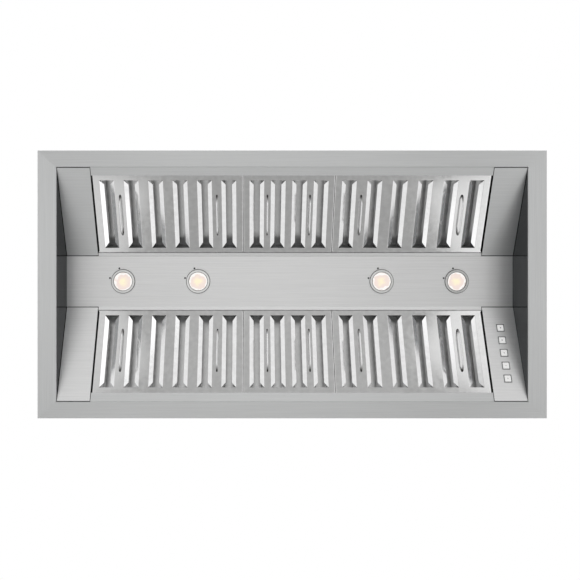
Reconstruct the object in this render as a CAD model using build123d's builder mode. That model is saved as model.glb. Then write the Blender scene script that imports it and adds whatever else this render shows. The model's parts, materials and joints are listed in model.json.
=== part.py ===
from build123d import *
from math import atan2, cos, hypot, radians, sin, sqrt, tan
import os

os.makedirs("parts", exist_ok=True)

# Island range hood, 48-inch class, hung from the ceiling over a cooking island.
# Millimetres, +Z up, front = -Y. The origin is the middle of the ceiling plate's
# top face, so the whole hood hangs below Z = 0. Heights inside the canopy are
# counted from the underside of its rim, and rim_z() turns them into Z.

# ---- canopy -------------------------------------------------------------
DROP = 960.0             # ceiling to the underside of the rim
WIDTH = 1213.0           # over the skirt, left to right
DEPTH = 638.0            # over the skirt, front to back
RIM_ENDS = 44.0          # flat rim at the left and right ends
RIM_LONG = 39.0          # flat rim along the front and the back
SKIRT = 90.0             # upright band around the canopy
CANOPY_HEIGHT = 340.0    # rim to the deck that carries the chimney
SHEET = 1.2              # stainless sheet of the canopy
UPSTAND = 15.0           # inner edge of the rim, turned up
TOP_RETURN = 12.0        # top edge of the skirt, turned in

# ---- recess under the canopy --------------------------------------------
RECESS = 100.0           # rim to the light panel
LIGHT_PANEL = 122.8      # flat part of the light panel, front to back
PANEL_SHEET = 1.0        # sheet of the blank end panels and side walls
END_PANEL = 81.0         # width of each blank end panel
LEDGE = 22.4             # ledge between rim and filters, along the slope
FLANGE = 10.6            # sloped edge of the light panel, along the slope
PANEL_TURN = 12.0        # filter side of an end panel, turned up
GAP = 1.2                # gap between a panel and its neighbour

# ---- baffle filters -----------------------------------------------------
MIDDLE_FILTER = 221.9    # width of the middle filter of each row
RIGHT_FILTER_SHARE = 0.4915   # how the rest is split between right and left
FILTER_GAP = 0.8         # between neighbouring filters
ROW_GAP = 2.0            # between a row's ends and the end panels
FILTER_DEPTH = 38.0      # thickness of a filter
FILTER_SHEET = 0.9
FILTER_TAIL = 10.0       # stretch of a filter that lies on the ledge
SWING_CLEARANCE = 0.9    # left free by a filter's far corner as it swings
SLOT_WIDTH = 36.0
SLOT_LENGTH = 181.0
SLOT_START = 35.3        # rim edge to the slots, along the slope
SIDE_SLOT_COUNT = 6      # slots in a left or right filter
MIDDLE_SLOT_COUNT = 4
SIDE_MARGIN = 16.0       # plain face beside the outer slots, left and right filters
MIDDLE_MARGIN = 15.0     # the same, middle filters
FLAP = 12.8              # width of the bent flap beside a slot
FLAP_ANGLE = 35.0        # its slope out of the face
FLAP_END_ANGLE = 42.0    # mitre at the ends of a flap
BAFFLE_FLAT = 15.0       # flat of a rear baffle
BAFFLE_WING = 12.5       # its bent wings, measured across
FRAME_LIP = 7.0          # rear edge of the filter frame, turned in
WIRE = 4.0               # handle wire, diameter
HANDLE_LENGTH = 104.0    # between the handle's feet
HANDLE_REACH = 16.0      # how far the grip stands off the face
HANDLE_FOOT = 3.0        # straight foot of the wire
HANDLE_SLANT = 17.0      # how far the grip's ends lean in
HANDLE_MIDDLE = 0.515    # place of the handle along the filter, as a share
WIRE_SIDES = 8           # flats that stand for the wire's round
CATCH_WIDTH = 14.0       # spring catch that holds a filter's inner end
CATCH_SHEET = 0.6
CATCH_HEIGHT = 24.0
CATCH_FOOT = 7.0

# ---- lamps --------------------------------------------------------------
LAMP_OUTER = 420.0       # X of the outer and the inner pair of lamps
LAMP_INNER = 231.0
LAMP_RING = 61.0         # diameters of ring and lens
LAMP_LENS = 46.0
LAMP_BODY = 54.0         # lamp's body, in its hole in the panel
LAMP_LIP = 2.2           # ring below the panel
LAMP_SEAT = 0.8          # lens below the panel
LAMP_LENS_THICK = 3.0
LAMP_CAN = 21.0          # height of the closed can behind the lens
NUT_SIDES = 6            # flats of the small screw heads and of the cable gland
DOT_HEAD = 4.4           # small screws beside each lamp, across the head
DOT_SHANK = 2.4
DOT_HEAD_HEIGHT = 1.0
DOT_LENGTH = 5.0
DOT_RADIUS = 34.0        # screw to lamp centre
DOT_ANGLES = (14.0, 74.0)

# ---- push buttons -------------------------------------------------------
BUTTON_COUNT = 5
BUTTON_PITCH = 31.6      # along the slope
BUTTON_CAP = 15.0
BUTTON_GAP = 0.3         # cap to bezel
BUTTON_TRAVEL = 1.5
BUTTON_PROUD = 1.6       # cap above the panel
BUTTON_DEPTH = 7.0       # cap behind the panel's face
BUTTON_STEP = 1.0        # collar that keeps the cap in its bezel
BUTTON_STEP_THICK = 1.5
BUTTON_CHAMFER = 1.2
BEZEL = 19.0
BEZEL_PROUD = 1.2
BEZEL_WALL = 1.2
BEZEL_DEPTH = 4.5
CONTROL_BOX_WIDTH = 44.0
CONTROL_BOX_DEPTH = 26.0
CONTROL_BOX_WALL = 1.5
CONTROL_BOX_MARGIN = 14.0     # past the outer buttons
BOARD_THICK = 1.6
SWITCH = 12.0
SWITCH_HEIGHT = 6.0
SWITCH_FREE = 0.3        # left between cap and switch at full travel
SWITCH_PLUNGER = 5.0

# ---- blower -------------------------------------------------------------
BLOWER_AXIS = 232.0      # above the rim
SCROLL_WIDTH = 124.0
SCROLL_SHEET = 1.2
SCROLL_CUTOFF = 84.0     # tongue above the axis
SCROLL_ARC_1 = 88.0      # three quarter turns of growing radius
SCROLL_ARC_2 = 98.0
SCROLL_ARC_3 = 108.0
SCROLL_FLANGE = 10.0
QUARTER_TURN = 90.0       # degrees
INLET = 124.0            # inlet diameter in each cheek
IMPELLER = 150.0
IMPELLER_GAP = 7.0       # impeller to cheek
BLADE_COUNT = 28
BLADE_REACH = 14.0       # radial depth of a blade
BLADE_SHEET = 1.0
BLADE_CURL = 7.0         # how far a blade leads round at its tip
BLADE_KNEE = 1.5         # and at the bend half way
HUB = 24.0
HUB_LENGTH = 30.0
WEB = 1.6                # plate between the two blade rows
SHAFT = 8.0
SHAFT_IN_MOTOR = 24.0
MOTOR = 76.0
MOTOR_GAP = 8.0          # motor to the impeller's web
SHAFT_CLEARANCE = 0.4
SPIDER_SHEET = 2.0
SPIDER_HUB = 56.0
SPIDER_ARM = 14.0
SPIDER_OVERLAP = 11.0    # arm past the inlet's edge
SPIDER_ARM_COUNT = 3

# ---- outlet collar and its damper ---------------------------------------
COLLAR = 200.0           # outside diameter, for an 8-inch duct
COLLAR_HEIGHT = 115.0
COLLAR_RIM = 6.0         # base plate beyond the tube, each side
DAMPER_HEIGHT = 52.0     # rod above the base plate
DAMPER_ROD = 5.0
DAMPER_SHEET = 0.8
DAMPER_GAP = 1.5         # flap to tube
DAMPER_BARREL = 8.0
BARREL_CLEARANCE = 0.35
BARREL_REACH = 0.86      # end of a barrel, as a share of the flap's radius
DAMPER_STOP = 5.0        # ring that the closed flaps lie on

# ---- chimney and ceiling fixing -----------------------------------------
CHIMNEY_WIDTH = 320.0
CHIMNEY_DEPTH = 280.0
CHIMNEY_SHEET = 1.0
LOWER_COVER = 330.0      # length
COVER_OVERLAP = 52.0     # upper cover inside the lower one
TELESCOPE_GAP = 1.0
CEILING_GAP = 2.0
LEG = 25.0               # hanger angle
LEG_SHEET = 2.0
LEG_GAP = 2.0            # hanger to upper cover
CEILING_SHEET = 3.0
CEILING_BORDER_ENDS = 35.0   # plate around its opening, left and right
CEILING_BORDER_LONG = 23.0   # and front and back
BOLT_INSET = 17.0        # bolt holes to the plate's left and right edges
BOLT_SPACING_Y = 120.0
BOLT_HOLE = 8.0
TAB_WIDTH = 50.0
TAB_DROP = 26.0
TAB_SHEET = 2.0
COVER_SCREW = 4.0
COVER_SCREW_HEAD = 8.0
COVER_SCREW_HEAD_HEIGHT = 2.4
COVER_SCREW_DROP = 14.0  # below the ceiling
COVER_SCREW_GAP = 0.3    # head to cover
COVER_SLOT = 5.0
JUNCTION_LENGTH = 90.0
JUNCTION_HEIGHT = 52.0
JUNCTION_LID = 1.5
JUNCTION_GAP = 3.0       # box to the collar's base
JUNCTION_AIR = 10.0      # box to the lower cover
GLAND = 18.0
GLAND_BORE = 9.0
GLAND_HEIGHT = 12.0
GLAND_PLACE = 0.25       # gland from the box's middle, as a share of its length

# ---- worked out from the above ------------------------------------------
HALF_WIDTH = WIDTH / 2
HALF_DEPTH = DEPTH / 2
OPEN_X = HALF_WIDTH - RIM_ENDS          # inner edge of the rim
OPEN_Y = HALF_DEPTH - RIM_LONG
WALL_X = OPEN_X - PANEL_SHEET           # inner face of the side walls
PANEL_Y = LIGHT_PANEL / 2
RUN = OPEN_Y - PANEL_Y                  # the filters' slope, seen in plan
SLOPE = atan2(RECESS, RUN)
SLOPE_LENGTH = hypot(RECESS, RUN)
FLANGE_START = SLOPE_LENGTH - FLANGE
ROW_X = WALL_X - END_PANEL + PANEL_SHEET    # end of a row of filters
LEDGE_TOP = PANEL_SHEET + SHEET         # upper face of ledge and flange
FACE = LEDGE_TOP + 0.3                  # filter face, behind the slope plane
FILTER_REACH = sqrt((FLANGE_START - LEDGE - SWING_CLEARANCE) ** 2
                    - (FACE + FILTER_DEPTH - LEDGE_TOP) ** 2)
FILTER_LENGTH = FILTER_REACH + FILTER_TAIL
FILTER_NOSE = FLANGE_START - LEDGE - SWING_CLEARANCE - FILTER_REACH
FILTER_MIDDLE = LEDGE - FILTER_TAIL + FILTER_LENGTH / 2
ROW_END = ROW_X - ROW_GAP + FILTER_GAP / 2
SIDE_FILTERS = 2 * ROW_END - MIDDLE_FILTER
RIGHT_FILTER = SIDE_FILTERS * RIGHT_FILTER_SHARE
LEFT_FILTER = SIDE_FILTERS - RIGHT_FILTER
CHIMNEY_HALF_X = CHIMNEY_WIDTH / 2
CHIMNEY_HALF_Y = CHIMNEY_DEPTH / 2
UPPER_HALF_X = CHIMNEY_HALF_X - CHIMNEY_SHEET - TELESCOPE_GAP
UPPER_HALF_Y = CHIMNEY_HALF_Y - CHIMNEY_SHEET - TELESCOPE_GAP
FRAME_HALF_X = UPPER_HALF_X - CHIMNEY_SHEET - LEG_GAP
FRAME_HALF_Y = UPPER_HALF_Y - CHIMNEY_SHEET - LEG_GAP
UPPER_COVER = DROP - CANOPY_HEIGHT - CEILING_GAP - LOWER_COVER + COVER_OVERLAP
COLLAR_BASE = COLLAR + 2 * COLLAR_RIM
OUTLET_DEPTH = SCROLL_ARC_3 + SCROLL_ARC_2 - SCROLL_ARC_1
LAMPS_X = (-LAMP_OUTER, -LAMP_INNER, LAMP_INNER, LAMP_OUTER)


def rim_z(height):
    """Z of a height above the underside of the rim."""
    return height - DROP


DECK_Z = rim_z(CANOPY_HEIGHT)


def save(name, made):
    """Label one finished piece and write its STEP file."""
    made.part.label = name
    export_step(made.part, "parts/" + name + ".step")


def slope_plane(side, behind=0.0):
    """Plane of the filters: side is 1 for the rear row and -1 for the front.

    Its origin is on the rim's inner edge, local Y climbs the slope, and
    local Z points up behind the filters.
    """
    plane = Plane(
        origin=(0, side * OPEN_Y, rim_z(0)),
        x_dir=(-side, 0, 0),
        z_dir=(0, side * sin(SLOPE), cos(SLOPE)),
    )
    return plane.offset(behind)


def section_plane(direction_x, direction_y):
    """Upright plane through the middle: local X points outwards, local Y up."""
    return Plane(
        origin=(0, 0, rim_z(0)),
        x_dir=(direction_x, direction_y, 0),
        z_dir=(direction_y, -direction_x, 0),
    )


def on_slope(along, behind):
    """Outward and upward place of a point that far up the slope and behind it."""
    outward = OPEN_Y - along * cos(SLOPE) + behind * sin(SLOPE)
    upward = along * sin(SLOPE) + behind * cos(SLOPE)
    return (outward, upward)


# ---- canopy shell -------------------------------------------------------

def canopy_band(name, direction, half_across, half_along, rim, rim_beside):
    """One mitred side of the canopy: top return, skirt, flat rim and upstand."""
    with BuildPart() as band:
        with BuildSketch(section_plane(*direction)):
            with BuildLine():
                Polyline(
                    (half_across - TOP_RETURN, SKIRT),
                    (half_across, SKIRT),
                    (half_across, 0),
                    (half_across - rim, 0),
                    (half_across - rim, UPSTAND),
                )
                offset(amount=SHEET, side=Side.RIGHT, kind=Kind.INTERSECTION)
            make_face()
        extrude(amount=half_along, both=True)
        plan = Plane(origin=(0, 0, rim_z(0)), x_dir=(direction[0], direction[1], 0),
                     z_dir=(0, 0, 1))
        with BuildSketch(plan):
            with BuildLine():
                Polyline(
                    (half_across, half_along),
                    (half_across - rim, half_along - rim_beside),
                    (half_across - rim, rim_beside - half_along),
                    (half_across, -half_along),
                    close=True,
                )
            make_face()
        extrude(amount=SKIRT, mode=Mode.INTERSECT)
    save(name, band)


canopy_band("canopy_band_front", (0, -1), HALF_DEPTH, HALF_WIDTH, RIM_LONG, RIM_ENDS)
canopy_band("canopy_band_rear", (0, 1), HALF_DEPTH, HALF_WIDTH, RIM_LONG, RIM_ENDS)
canopy_band("canopy_band_left", (-1, 0), HALF_WIDTH, HALF_DEPTH, RIM_ENDS, RIM_LONG)
canopy_band("canopy_band_right", (1, 0), HALF_WIDTH, HALF_DEPTH, RIM_ENDS, RIM_LONG)

def roof_outline(base, top):
    """Outline of the roof seen square to one of its sides."""
    Polyline(
        (-base / 2, rim_z(SKIRT)),
        (base / 2, rim_z(SKIRT)),
        (top / 2, DECK_Z),
        (-top / 2, DECK_Z),
        close=True,
    )


with BuildPart() as canopy_roof:
    # Hollow pyramid, open below, whose flat top is the deck under the chimney.
    with BuildSketch(Plane.XZ):
        with BuildLine():
            roof_outline(WIDTH, CHIMNEY_WIDTH)
        make_face()
    extrude(amount=HALF_DEPTH, both=True)
    with BuildSketch(Plane.YZ):
        with BuildLine():
            roof_outline(DEPTH, CHIMNEY_DEPTH)
        make_face()
    extrude(amount=HALF_WIDTH, both=True, mode=Mode.INTERSECT)
    offset(
        amount=-SHEET,
        openings=canopy_roof.faces().sort_by(Axis.Z)[0],
        kind=Kind.INTERSECTION,
    )
    with BuildSketch(Plane.XY.offset(rim_z(SKIRT))):
        Rectangle(WIDTH - 2 * SHEET, DEPTH - 2 * SHEET)
        Rectangle(WIDTH - 2 * TOP_RETURN, DEPTH - 2 * TOP_RETURN, mode=Mode.SUBTRACT)
    extrude(amount=SHEET)
    with BuildSketch(Plane.XY.offset(DECK_Z - SHEET)):
        Rectangle(SCROLL_WIDTH - 2 * SCROLL_SHEET, OUTLET_DEPTH - 2 * SCROLL_SHEET)
    extrude(amount=SHEET, mode=Mode.SUBTRACT)
save("canopy_roof", canopy_roof)


# ---- recess: side walls, ledges, end panels and light panel -------------

def side_wall(name, side):
    """Upright end of the recess, following the two slopes."""
    foot = 2 * SHEET
    shoulder = on_slope(0, PANEL_TURN)
    top = on_slope(SLOPE_LENGTH, PANEL_TURN)
    edge = OPEN_Y - GAP
    with BuildPart() as wall:
        with BuildSketch(Plane.YZ.offset(side * WALL_X)):
            with BuildLine():
                Polyline(
                    (-edge, rim_z(foot)),
                    (edge, rim_z(foot)),
                    (edge, rim_z(shoulder[1])),
                    (top[0], rim_z(top[1])),
                    (-top[0], rim_z(top[1])),
                    (-edge, rim_z(shoulder[1])),
                    close=True,
                )
            make_face()
        extrude(amount=side * PANEL_SHEET)
    save(name, wall)


side_wall("side_wall_left", -1)
side_wall("side_wall_right", 1)


def ledge(name, side):
    """Sloped ledge that the filters' outer ends lie on, with its upright flange."""
    bend = PANEL_SHEET / cos(SLOPE)
    with BuildPart() as made:
        with BuildSketch(section_plane(0, side)):
            with BuildLine():
                Polyline(
                    (OPEN_Y, UPSTAND),
                    (OPEN_Y, bend),
                    on_slope(LEDGE, PANEL_SHEET),
                )
                offset(amount=SHEET, side=Side.RIGHT, kind=Kind.INTERSECTION)
            make_face()
        extrude(amount=WALL_X, both=True)
    save(name, made)


ledge("ledge_front", -1)
ledge("ledge_rear", 1)

# The light panel's underside bends where the flat meets the sloped edges.
BEND_ALONG = (RECESS - PANEL_SHEET * cos(SLOPE)) / sin(SLOPE)
PANEL_BEND = on_slope(BEND_ALONG, PANEL_SHEET)
FLANGE_EDGE = on_slope(FLANGE_START, PANEL_SHEET)

with BuildPart() as light_panel:
    with BuildSketch(section_plane(0, 1)):
        with BuildLine():
            Polyline(
                FLANGE_EDGE,
                PANEL_BEND,
                (-PANEL_BEND[0], PANEL_BEND[1]),
                (-FLANGE_EDGE[0], FLANGE_EDGE[1]),
            )
            offset(amount=SHEET, side=Side.RIGHT, kind=Kind.INTERSECTION)
        make_face()
    extrude(amount=WALL_X, both=True)
    with BuildSketch(Plane.XY.offset(rim_z(RECESS))):
        with Locations(*[(x, 0) for x in LAMPS_X]):
            Circle(LAMP_BODY / 2)
            for angle in DOT_ANGLES:
                with PolarLocations(DOT_RADIUS, 1, start_angle=angle):
                    Circle(DOT_SHANK / 2)
    extrude(amount=SHEET, mode=Mode.SUBTRACT)
save("light_panel", light_panel)

PANEL_FOOT = PANEL_SHEET * tan(SLOPE) + GAP
PANEL_HEAD = BEND_ALONG - GAP
PANEL_MIDDLE = (PANEL_FOOT + PANEL_HEAD) / 2
PANEL_CENTRE = (WALL_X + ROW_X) / 2
PANEL_WIDTH = WALL_X - ROW_X


def button_places():
    """Distances up the slope of the five buttons, lowest first."""
    first = PANEL_MIDDLE - BUTTON_PITCH * (BUTTON_COUNT - 1) / 2
    return [first + BUTTON_PITCH * step for step in range(BUTTON_COUNT)]


def end_panel(name, side, end, holes):
    """Blank sloped panel beside the filters, its filter edge turned up."""
    plane = slope_plane(side)
    centre = -side * end * PANEL_CENTRE
    turned = -side * end * (ROW_X + PANEL_SHEET / 2)
    with BuildPart() as panel:
        with BuildSketch(plane):
            with Locations((centre, PANEL_MIDDLE)):
                Rectangle(PANEL_WIDTH, PANEL_HEAD - PANEL_FOOT)
        extrude(amount=PANEL_SHEET)
        with BuildSketch(plane):
            with Locations((turned, (LEDGE + FLANGE_START) / 2)):
                Rectangle(PANEL_SHEET, FLANGE_START - LEDGE - 2 * GAP)
        extrude(amount=PANEL_TURN)
        if holes:
            with BuildSketch(plane):
                with Locations(*[(centre, along) for along in button_places()]):
                    Rectangle(BEZEL_SLEEVE, BEZEL_SLEEVE)
            extrude(amount=PANEL_SHEET, mode=Mode.SUBTRACT)
    save(name, panel)


BUTTON_HOLE = BUTTON_CAP + 2 * BUTTON_GAP
BEZEL_SLEEVE = BUTTON_HOLE + 2 * BEZEL_WALL

end_panel("end_panel_rear_left", 1, -1, False)
end_panel("end_panel_rear_right", 1, 1, False)
end_panel("end_panel_front_right", -1, 1, False)
end_panel("control_panel", -1, -1, True)


# ---- baffle filters -----------------------------------------------------

def filter_tray(name, side, middle, width, slots, pitch):
    """Frame and slotted face of one filter, its flaps bent in beside each slot.

    The face runs on past the frame's inner end as a short nose that covers the
    room the frame needs to swing.
    """
    plane = slope_plane(side, FACE)
    centre = -side * middle
    inner_width = width - 2 * FILTER_SHEET
    inner_length = FILTER_LENGTH - 2 * FILTER_SHEET
    slot_middle = SLOT_START + SLOT_LENGTH / 2
    with BuildPart() as tray:
        with BuildSketch(plane):
            with Locations((centre, FILTER_MIDDLE)):
                Rectangle(width, FILTER_LENGTH)
        extrude(amount=FILTER_DEPTH)
        with BuildSketch(plane.offset(FILTER_SHEET)):
            with Locations((centre, FILTER_MIDDLE)):
                Rectangle(inner_width, inner_length)
        extrude(amount=FILTER_DEPTH - 2 * FILTER_SHEET, mode=Mode.SUBTRACT)
        with BuildSketch(plane.offset(FILTER_DEPTH - FILTER_SHEET)):
            with Locations((centre, FILTER_MIDDLE)):
                Rectangle(inner_width - 2 * FRAME_LIP, inner_length - 2 * FRAME_LIP)
        extrude(amount=FILTER_SHEET, mode=Mode.SUBTRACT)
        with BuildSketch(plane):
            with Locations((centre, LEDGE + FILTER_REACH)):
                Rectangle(width, FILTER_NOSE, align=(Align.CENTER, Align.MIN))
        extrude(amount=FILTER_SHEET)
        with BuildSketch(plane):
            with Locations((centre, slot_middle)):
                with GridLocations(pitch, 0, slots, 1):
                    Rectangle(SLOT_WIDTH, SLOT_LENGTH)
        extrude(amount=FILTER_SHEET, mode=Mode.SUBTRACT)
        lean = radians(FLAP_ANGLE)
        for slot in range(slots):
            slot_centre = centre + pitch * (slot - (slots - 1) / 2)
            for hand in (-1, 1):
                edge = plane.from_local_coords(
                    Vector(slot_centre + hand * SLOT_WIDTH / 2, slot_middle, 0)
                )
                outwards = plane.x_dir * hand * sin(lean) + plane.z_dir * cos(lean)
                flap = Plane(origin=edge, x_dir=plane.y_dir * hand, z_dir=outwards)
                with BuildSketch(flap):
                    Trapezoid(SLOT_LENGTH, FLAP, FLAP_END_ANGLE,
                              align=(Align.CENTER, Align.MIN))
                extrude(amount=FILTER_SHEET)
    save(name, tray)


def filter_baffles(name, side, middle, width, slots, pitch):
    """Rear channels of one filter, one behind each slot, their wings bent forward."""
    centre = -side * middle
    plane = slope_plane(side, FACE)
    start = FILTER_MIDDLE + FILTER_LENGTH / 2 - FILTER_SHEET
    back = FILTER_DEPTH - FILTER_SHEET
    section = Plane(
        origin=plane.from_local_coords(Vector(centre, start, 0)),
        x_dir=plane.x_dir,
        z_dir=-plane.y_dir,
    )
    wing = BAFFLE_FLAT / 2 + BAFFLE_WING
    with BuildPart() as baffles:
        for slot in range(slots):
            place = pitch * (slot - (slots - 1) / 2)
            with BuildSketch(section):
                with BuildLine():
                    Polyline(
                        (place - wing, back - BAFFLE_WING),
                        (place - BAFFLE_FLAT / 2, back),
                        (place + BAFFLE_FLAT / 2, back),
                        (place + wing, back - BAFFLE_WING),
                    )
                    offset(amount=FILTER_SHEET, side=Side.RIGHT,
                           kind=Kind.INTERSECTION)
                make_face()
            extrude(amount=FILTER_LENGTH - 2 * FILTER_SHEET)
    save(name, baffles)


def filter_handles(name, side, middle, width, slots, pitch):
    """Two bent wire handles, on the ribs beside the first and the last slot."""
    plane = slope_plane(side, FACE)
    centre = -side * middle
    along = LEDGE + FILTER_REACH * HANDLE_MIDDLE
    half = HANDLE_LENGTH / 2
    rib = pitch * (slots - 2) / 2
    with BuildPart() as handles:
        for place in (centre - rib, centre + rib):
            bend = Plane(
                origin=plane.from_local_coords(Vector(place, along, 0)),
                x_dir=plane.y_dir,
                z_dir=plane.x_dir,
            )
            with BuildLine(bend) as wire:
                Polyline(
                    (-half, 0),
                    (-half, -HANDLE_FOOT),
                    (HANDLE_SLANT - half, -HANDLE_REACH),
                    (half - HANDLE_SLANT, -HANDLE_REACH),
                    (half, -HANDLE_FOOT),
                    (half, 0),
                )
            with BuildSketch(Plane(origin=wire.line @ 0, z_dir=wire.line % 0)):
                RegularPolygon(WIRE / 2, WIRE_SIDES)
            sweep(path=wire.line, transition=Transition.RIGHT)
    save(name, handles)


ROWS = {"rear": 1, "front": -1}
PLACES = {
    "right": (ROW_END - RIGHT_FILTER / 2, RIGHT_FILTER, SIDE_SLOT_COUNT, SIDE_MARGIN),
    "middle": (ROW_END - RIGHT_FILTER - MIDDLE_FILTER / 2, MIDDLE_FILTER,
               MIDDLE_SLOT_COUNT, MIDDLE_MARGIN),
    "left": (LEFT_FILTER / 2 - ROW_END, LEFT_FILTER, SIDE_SLOT_COUNT, SIDE_MARGIN),
}


def slot_pitch(share, slots, margin):
    """Distance between slots that fill a filter's face between its margins."""
    return (share - FILTER_GAP - 2 * margin - SLOT_WIDTH) / (slots - 1)


for row, side in ROWS.items():
    for place, (middle, share, slots, margin) in PLACES.items():
        width = share - FILTER_GAP
        pitch = slot_pitch(share, slots, margin)
        which = row + "_" + place
        filter_tray("filter_tray_" + which, side, middle, width, slots, pitch)
        filter_baffles("filter_baffles_" + which, side, middle, width, slots, pitch)
        filter_handles("filter_handles_" + which, side, middle, width, slots, pitch)

with BuildPart() as filter_catches:
    # Leaf springs on the light panel's sloped edges, two to a filter: a foot on
    # the edge and a leaf that stands up beside the filter's inner end.
    for side in ROWS.values():
        for middle, share, slots, margin in PLACES.values():
            for hand in (-1, 1):
                rib = slot_pitch(share, slots, margin) * (slots - 2) / 2
                x = middle + hand * rib
                section = section_plane(0, side)
                lift = FLANGE_START + GAP
                with BuildSketch(section.offset(section.z_dir.X * x - CATCH_WIDTH / 2)):
                    with BuildLine():
                        Polyline(
                            on_slope(lift + CATCH_FOOT, LEDGE_TOP),
                            on_slope(lift, LEDGE_TOP),
                            on_slope(lift + 2 * CATCH_SHEET, LEDGE_TOP + CATCH_HEIGHT),
                        )
                        offset(amount=CATCH_SHEET, side=Side.LEFT,
                               kind=Kind.INTERSECTION)
                    make_face()
                extrude(amount=CATCH_WIDTH)
save("filter_catches", filter_catches)


# ---- lamps --------------------------------------------------------------

LAMP_PLANE = Plane.XY.offset(rim_z(RECESS))


def lamp_turning(x):
    """Upright plane through a lamp's middle for a turned outline."""
    return Plane(origin=(x, 0, rim_z(RECESS)), x_dir=(1, 0, 0), z_dir=(0, -1, 0))


with BuildPart() as lamp_rings:
    # Flat rings with a bevelled edge and a seat for the lens.
    ring, lens, body = LAMP_RING / 2, LAMP_LENS / 2, LAMP_BODY / 2
    for x in LAMPS_X:
        with BuildSketch(lamp_turning(x)):
            with BuildLine():
                Polyline(
                    (lens, -LAMP_SEAT),
                    (lens, -LAMP_LIP),
                    (ring - LAMP_LIP, -LAMP_LIP),
                    (ring, 0),
                    (body, 0),
                    (body, -LAMP_SEAT),
                    close=True,
                )
            make_face()
        revolve(axis=Axis((x, 0, 0), (0, 0, 1)))
save("lamp_rings", lamp_rings)

with BuildPart() as lamp_lenses:
    with BuildSketch(LAMP_PLANE.offset(-LAMP_SEAT)):
        with Locations(*[(x, 0) for x in LAMPS_X]):
            Circle(LAMP_BODY / 2)
    extrude(amount=LAMP_LENS_THICK)
save("lamp_lenses", lamp_lenses)

with BuildPart() as lamp_cups:
    # Closed cans behind the lenses, with the LEDs in them.
    with BuildSketch(LAMP_PLANE.offset(LAMP_LENS_THICK - LAMP_SEAT)):
        with Locations(*[(x, 0) for x in LAMPS_X]):
            Circle(LAMP_BODY / 2)
    extrude(amount=LAMP_CAN)
save("lamp_cups", lamp_cups)

with BuildPart() as lamp_screws:
    with BuildSketch(LAMP_PLANE.offset(-DOT_HEAD_HEIGHT)):
        with Locations(*[(x, 0) for x in LAMPS_X]):
            for angle in DOT_ANGLES:
                with PolarLocations(DOT_RADIUS, 1, start_angle=angle):
                    RegularPolygon(DOT_HEAD / 2, NUT_SIDES)
    extrude(amount=DOT_HEAD_HEIGHT)
    with BuildSketch(LAMP_PLANE):
        with Locations(*[(x, 0) for x in LAMPS_X]):
            for angle in DOT_ANGLES:
                with PolarLocations(DOT_RADIUS, 1, start_angle=angle):
                    Circle(DOT_SHANK / 2)
    extrude(amount=DOT_LENGTH)
save("lamp_screws", lamp_screws)


# ---- push buttons -------------------------------------------------------

CONTROL = slope_plane(-1)
CONTROL_CENTRE = -PANEL_CENTRE
PRESS_AXIS = Axis(CONTROL.origin, CONTROL.z_dir)
CAP_REST = BUTTON_DEPTH + BUTTON_STEP_THICK     # back of a cap, behind the slope
SWITCH_FACE = CAP_REST + BUTTON_TRAVEL + SWITCH_FREE
BOARD_FACE = SWITCH_FACE + SWITCH_HEIGHT

for number, along in enumerate(button_places(), start=1):
    with BuildPart() as button:
        with BuildSketch(CONTROL.offset(-BUTTON_PROUD)):
            with Locations((CONTROL_CENTRE, along)):
                Rectangle(BUTTON_CAP, BUTTON_CAP)
        extrude(amount=BUTTON_PROUD + BUTTON_DEPTH)
        chamfer(button.edges().filter_by(PRESS_AXIS), BUTTON_CHAMFER)
        with BuildSketch(CONTROL.offset(BUTTON_DEPTH)):
            with Locations((CONTROL_CENTRE, along)):
                Rectangle(BUTTON_HOLE + 2 * BUTTON_STEP, BUTTON_HOLE + 2 * BUTTON_STEP)
        extrude(amount=BUTTON_STEP_THICK)
    save("button_" + str(number), button)

with BuildPart() as button_bezels:
    # Square collars pushed into the panel from the front.
    with BuildSketch(CONTROL.offset(-BEZEL_PROUD)):
        with Locations(*[(CONTROL_CENTRE, along) for along in button_places()]):
            Rectangle(BEZEL, BEZEL)
    extrude(amount=BEZEL_PROUD)
    with BuildSketch(CONTROL):
        with Locations(*[(CONTROL_CENTRE, along) for along in button_places()]):
            Rectangle(BEZEL_SLEEVE, BEZEL_SLEEVE)
    extrude(amount=BEZEL_DEPTH)
    with BuildSketch(CONTROL.offset(-BEZEL_PROUD)):
        with Locations(*[(CONTROL_CENTRE, along) for along in button_places()]):
            Rectangle(BUTTON_HOLE, BUTTON_HOLE)
    extrude(amount=BEZEL_PROUD + BEZEL_DEPTH, mode=Mode.SUBTRACT)
save("button_bezels", button_bezels)

BOX_LENGTH = BUTTON_PITCH * (BUTTON_COUNT - 1) + 2 * CONTROL_BOX_MARGIN
BOX_INNER = CONTROL_BOX_WIDTH - 2 * CONTROL_BOX_WALL
BOX_INNER_LENGTH = BOX_LENGTH - 2 * CONTROL_BOX_WALL

with BuildPart() as control_box:
    # Cover behind the buttons, open towards the panel.
    with BuildSketch(CONTROL.offset(PANEL_SHEET)):
        with Locations((CONTROL_CENTRE, PANEL_MIDDLE)):
            Rectangle(CONTROL_BOX_WIDTH, BOX_LENGTH)
    extrude(amount=CONTROL_BOX_DEPTH)
    with BuildSketch(CONTROL.offset(PANEL_SHEET)):
        with Locations((CONTROL_CENTRE, PANEL_MIDDLE)):
            Rectangle(BOX_INNER, BOX_INNER_LENGTH)
    extrude(amount=CONTROL_BOX_DEPTH - CONTROL_BOX_WALL, mode=Mode.SUBTRACT)
save("control_box", control_box)

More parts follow.
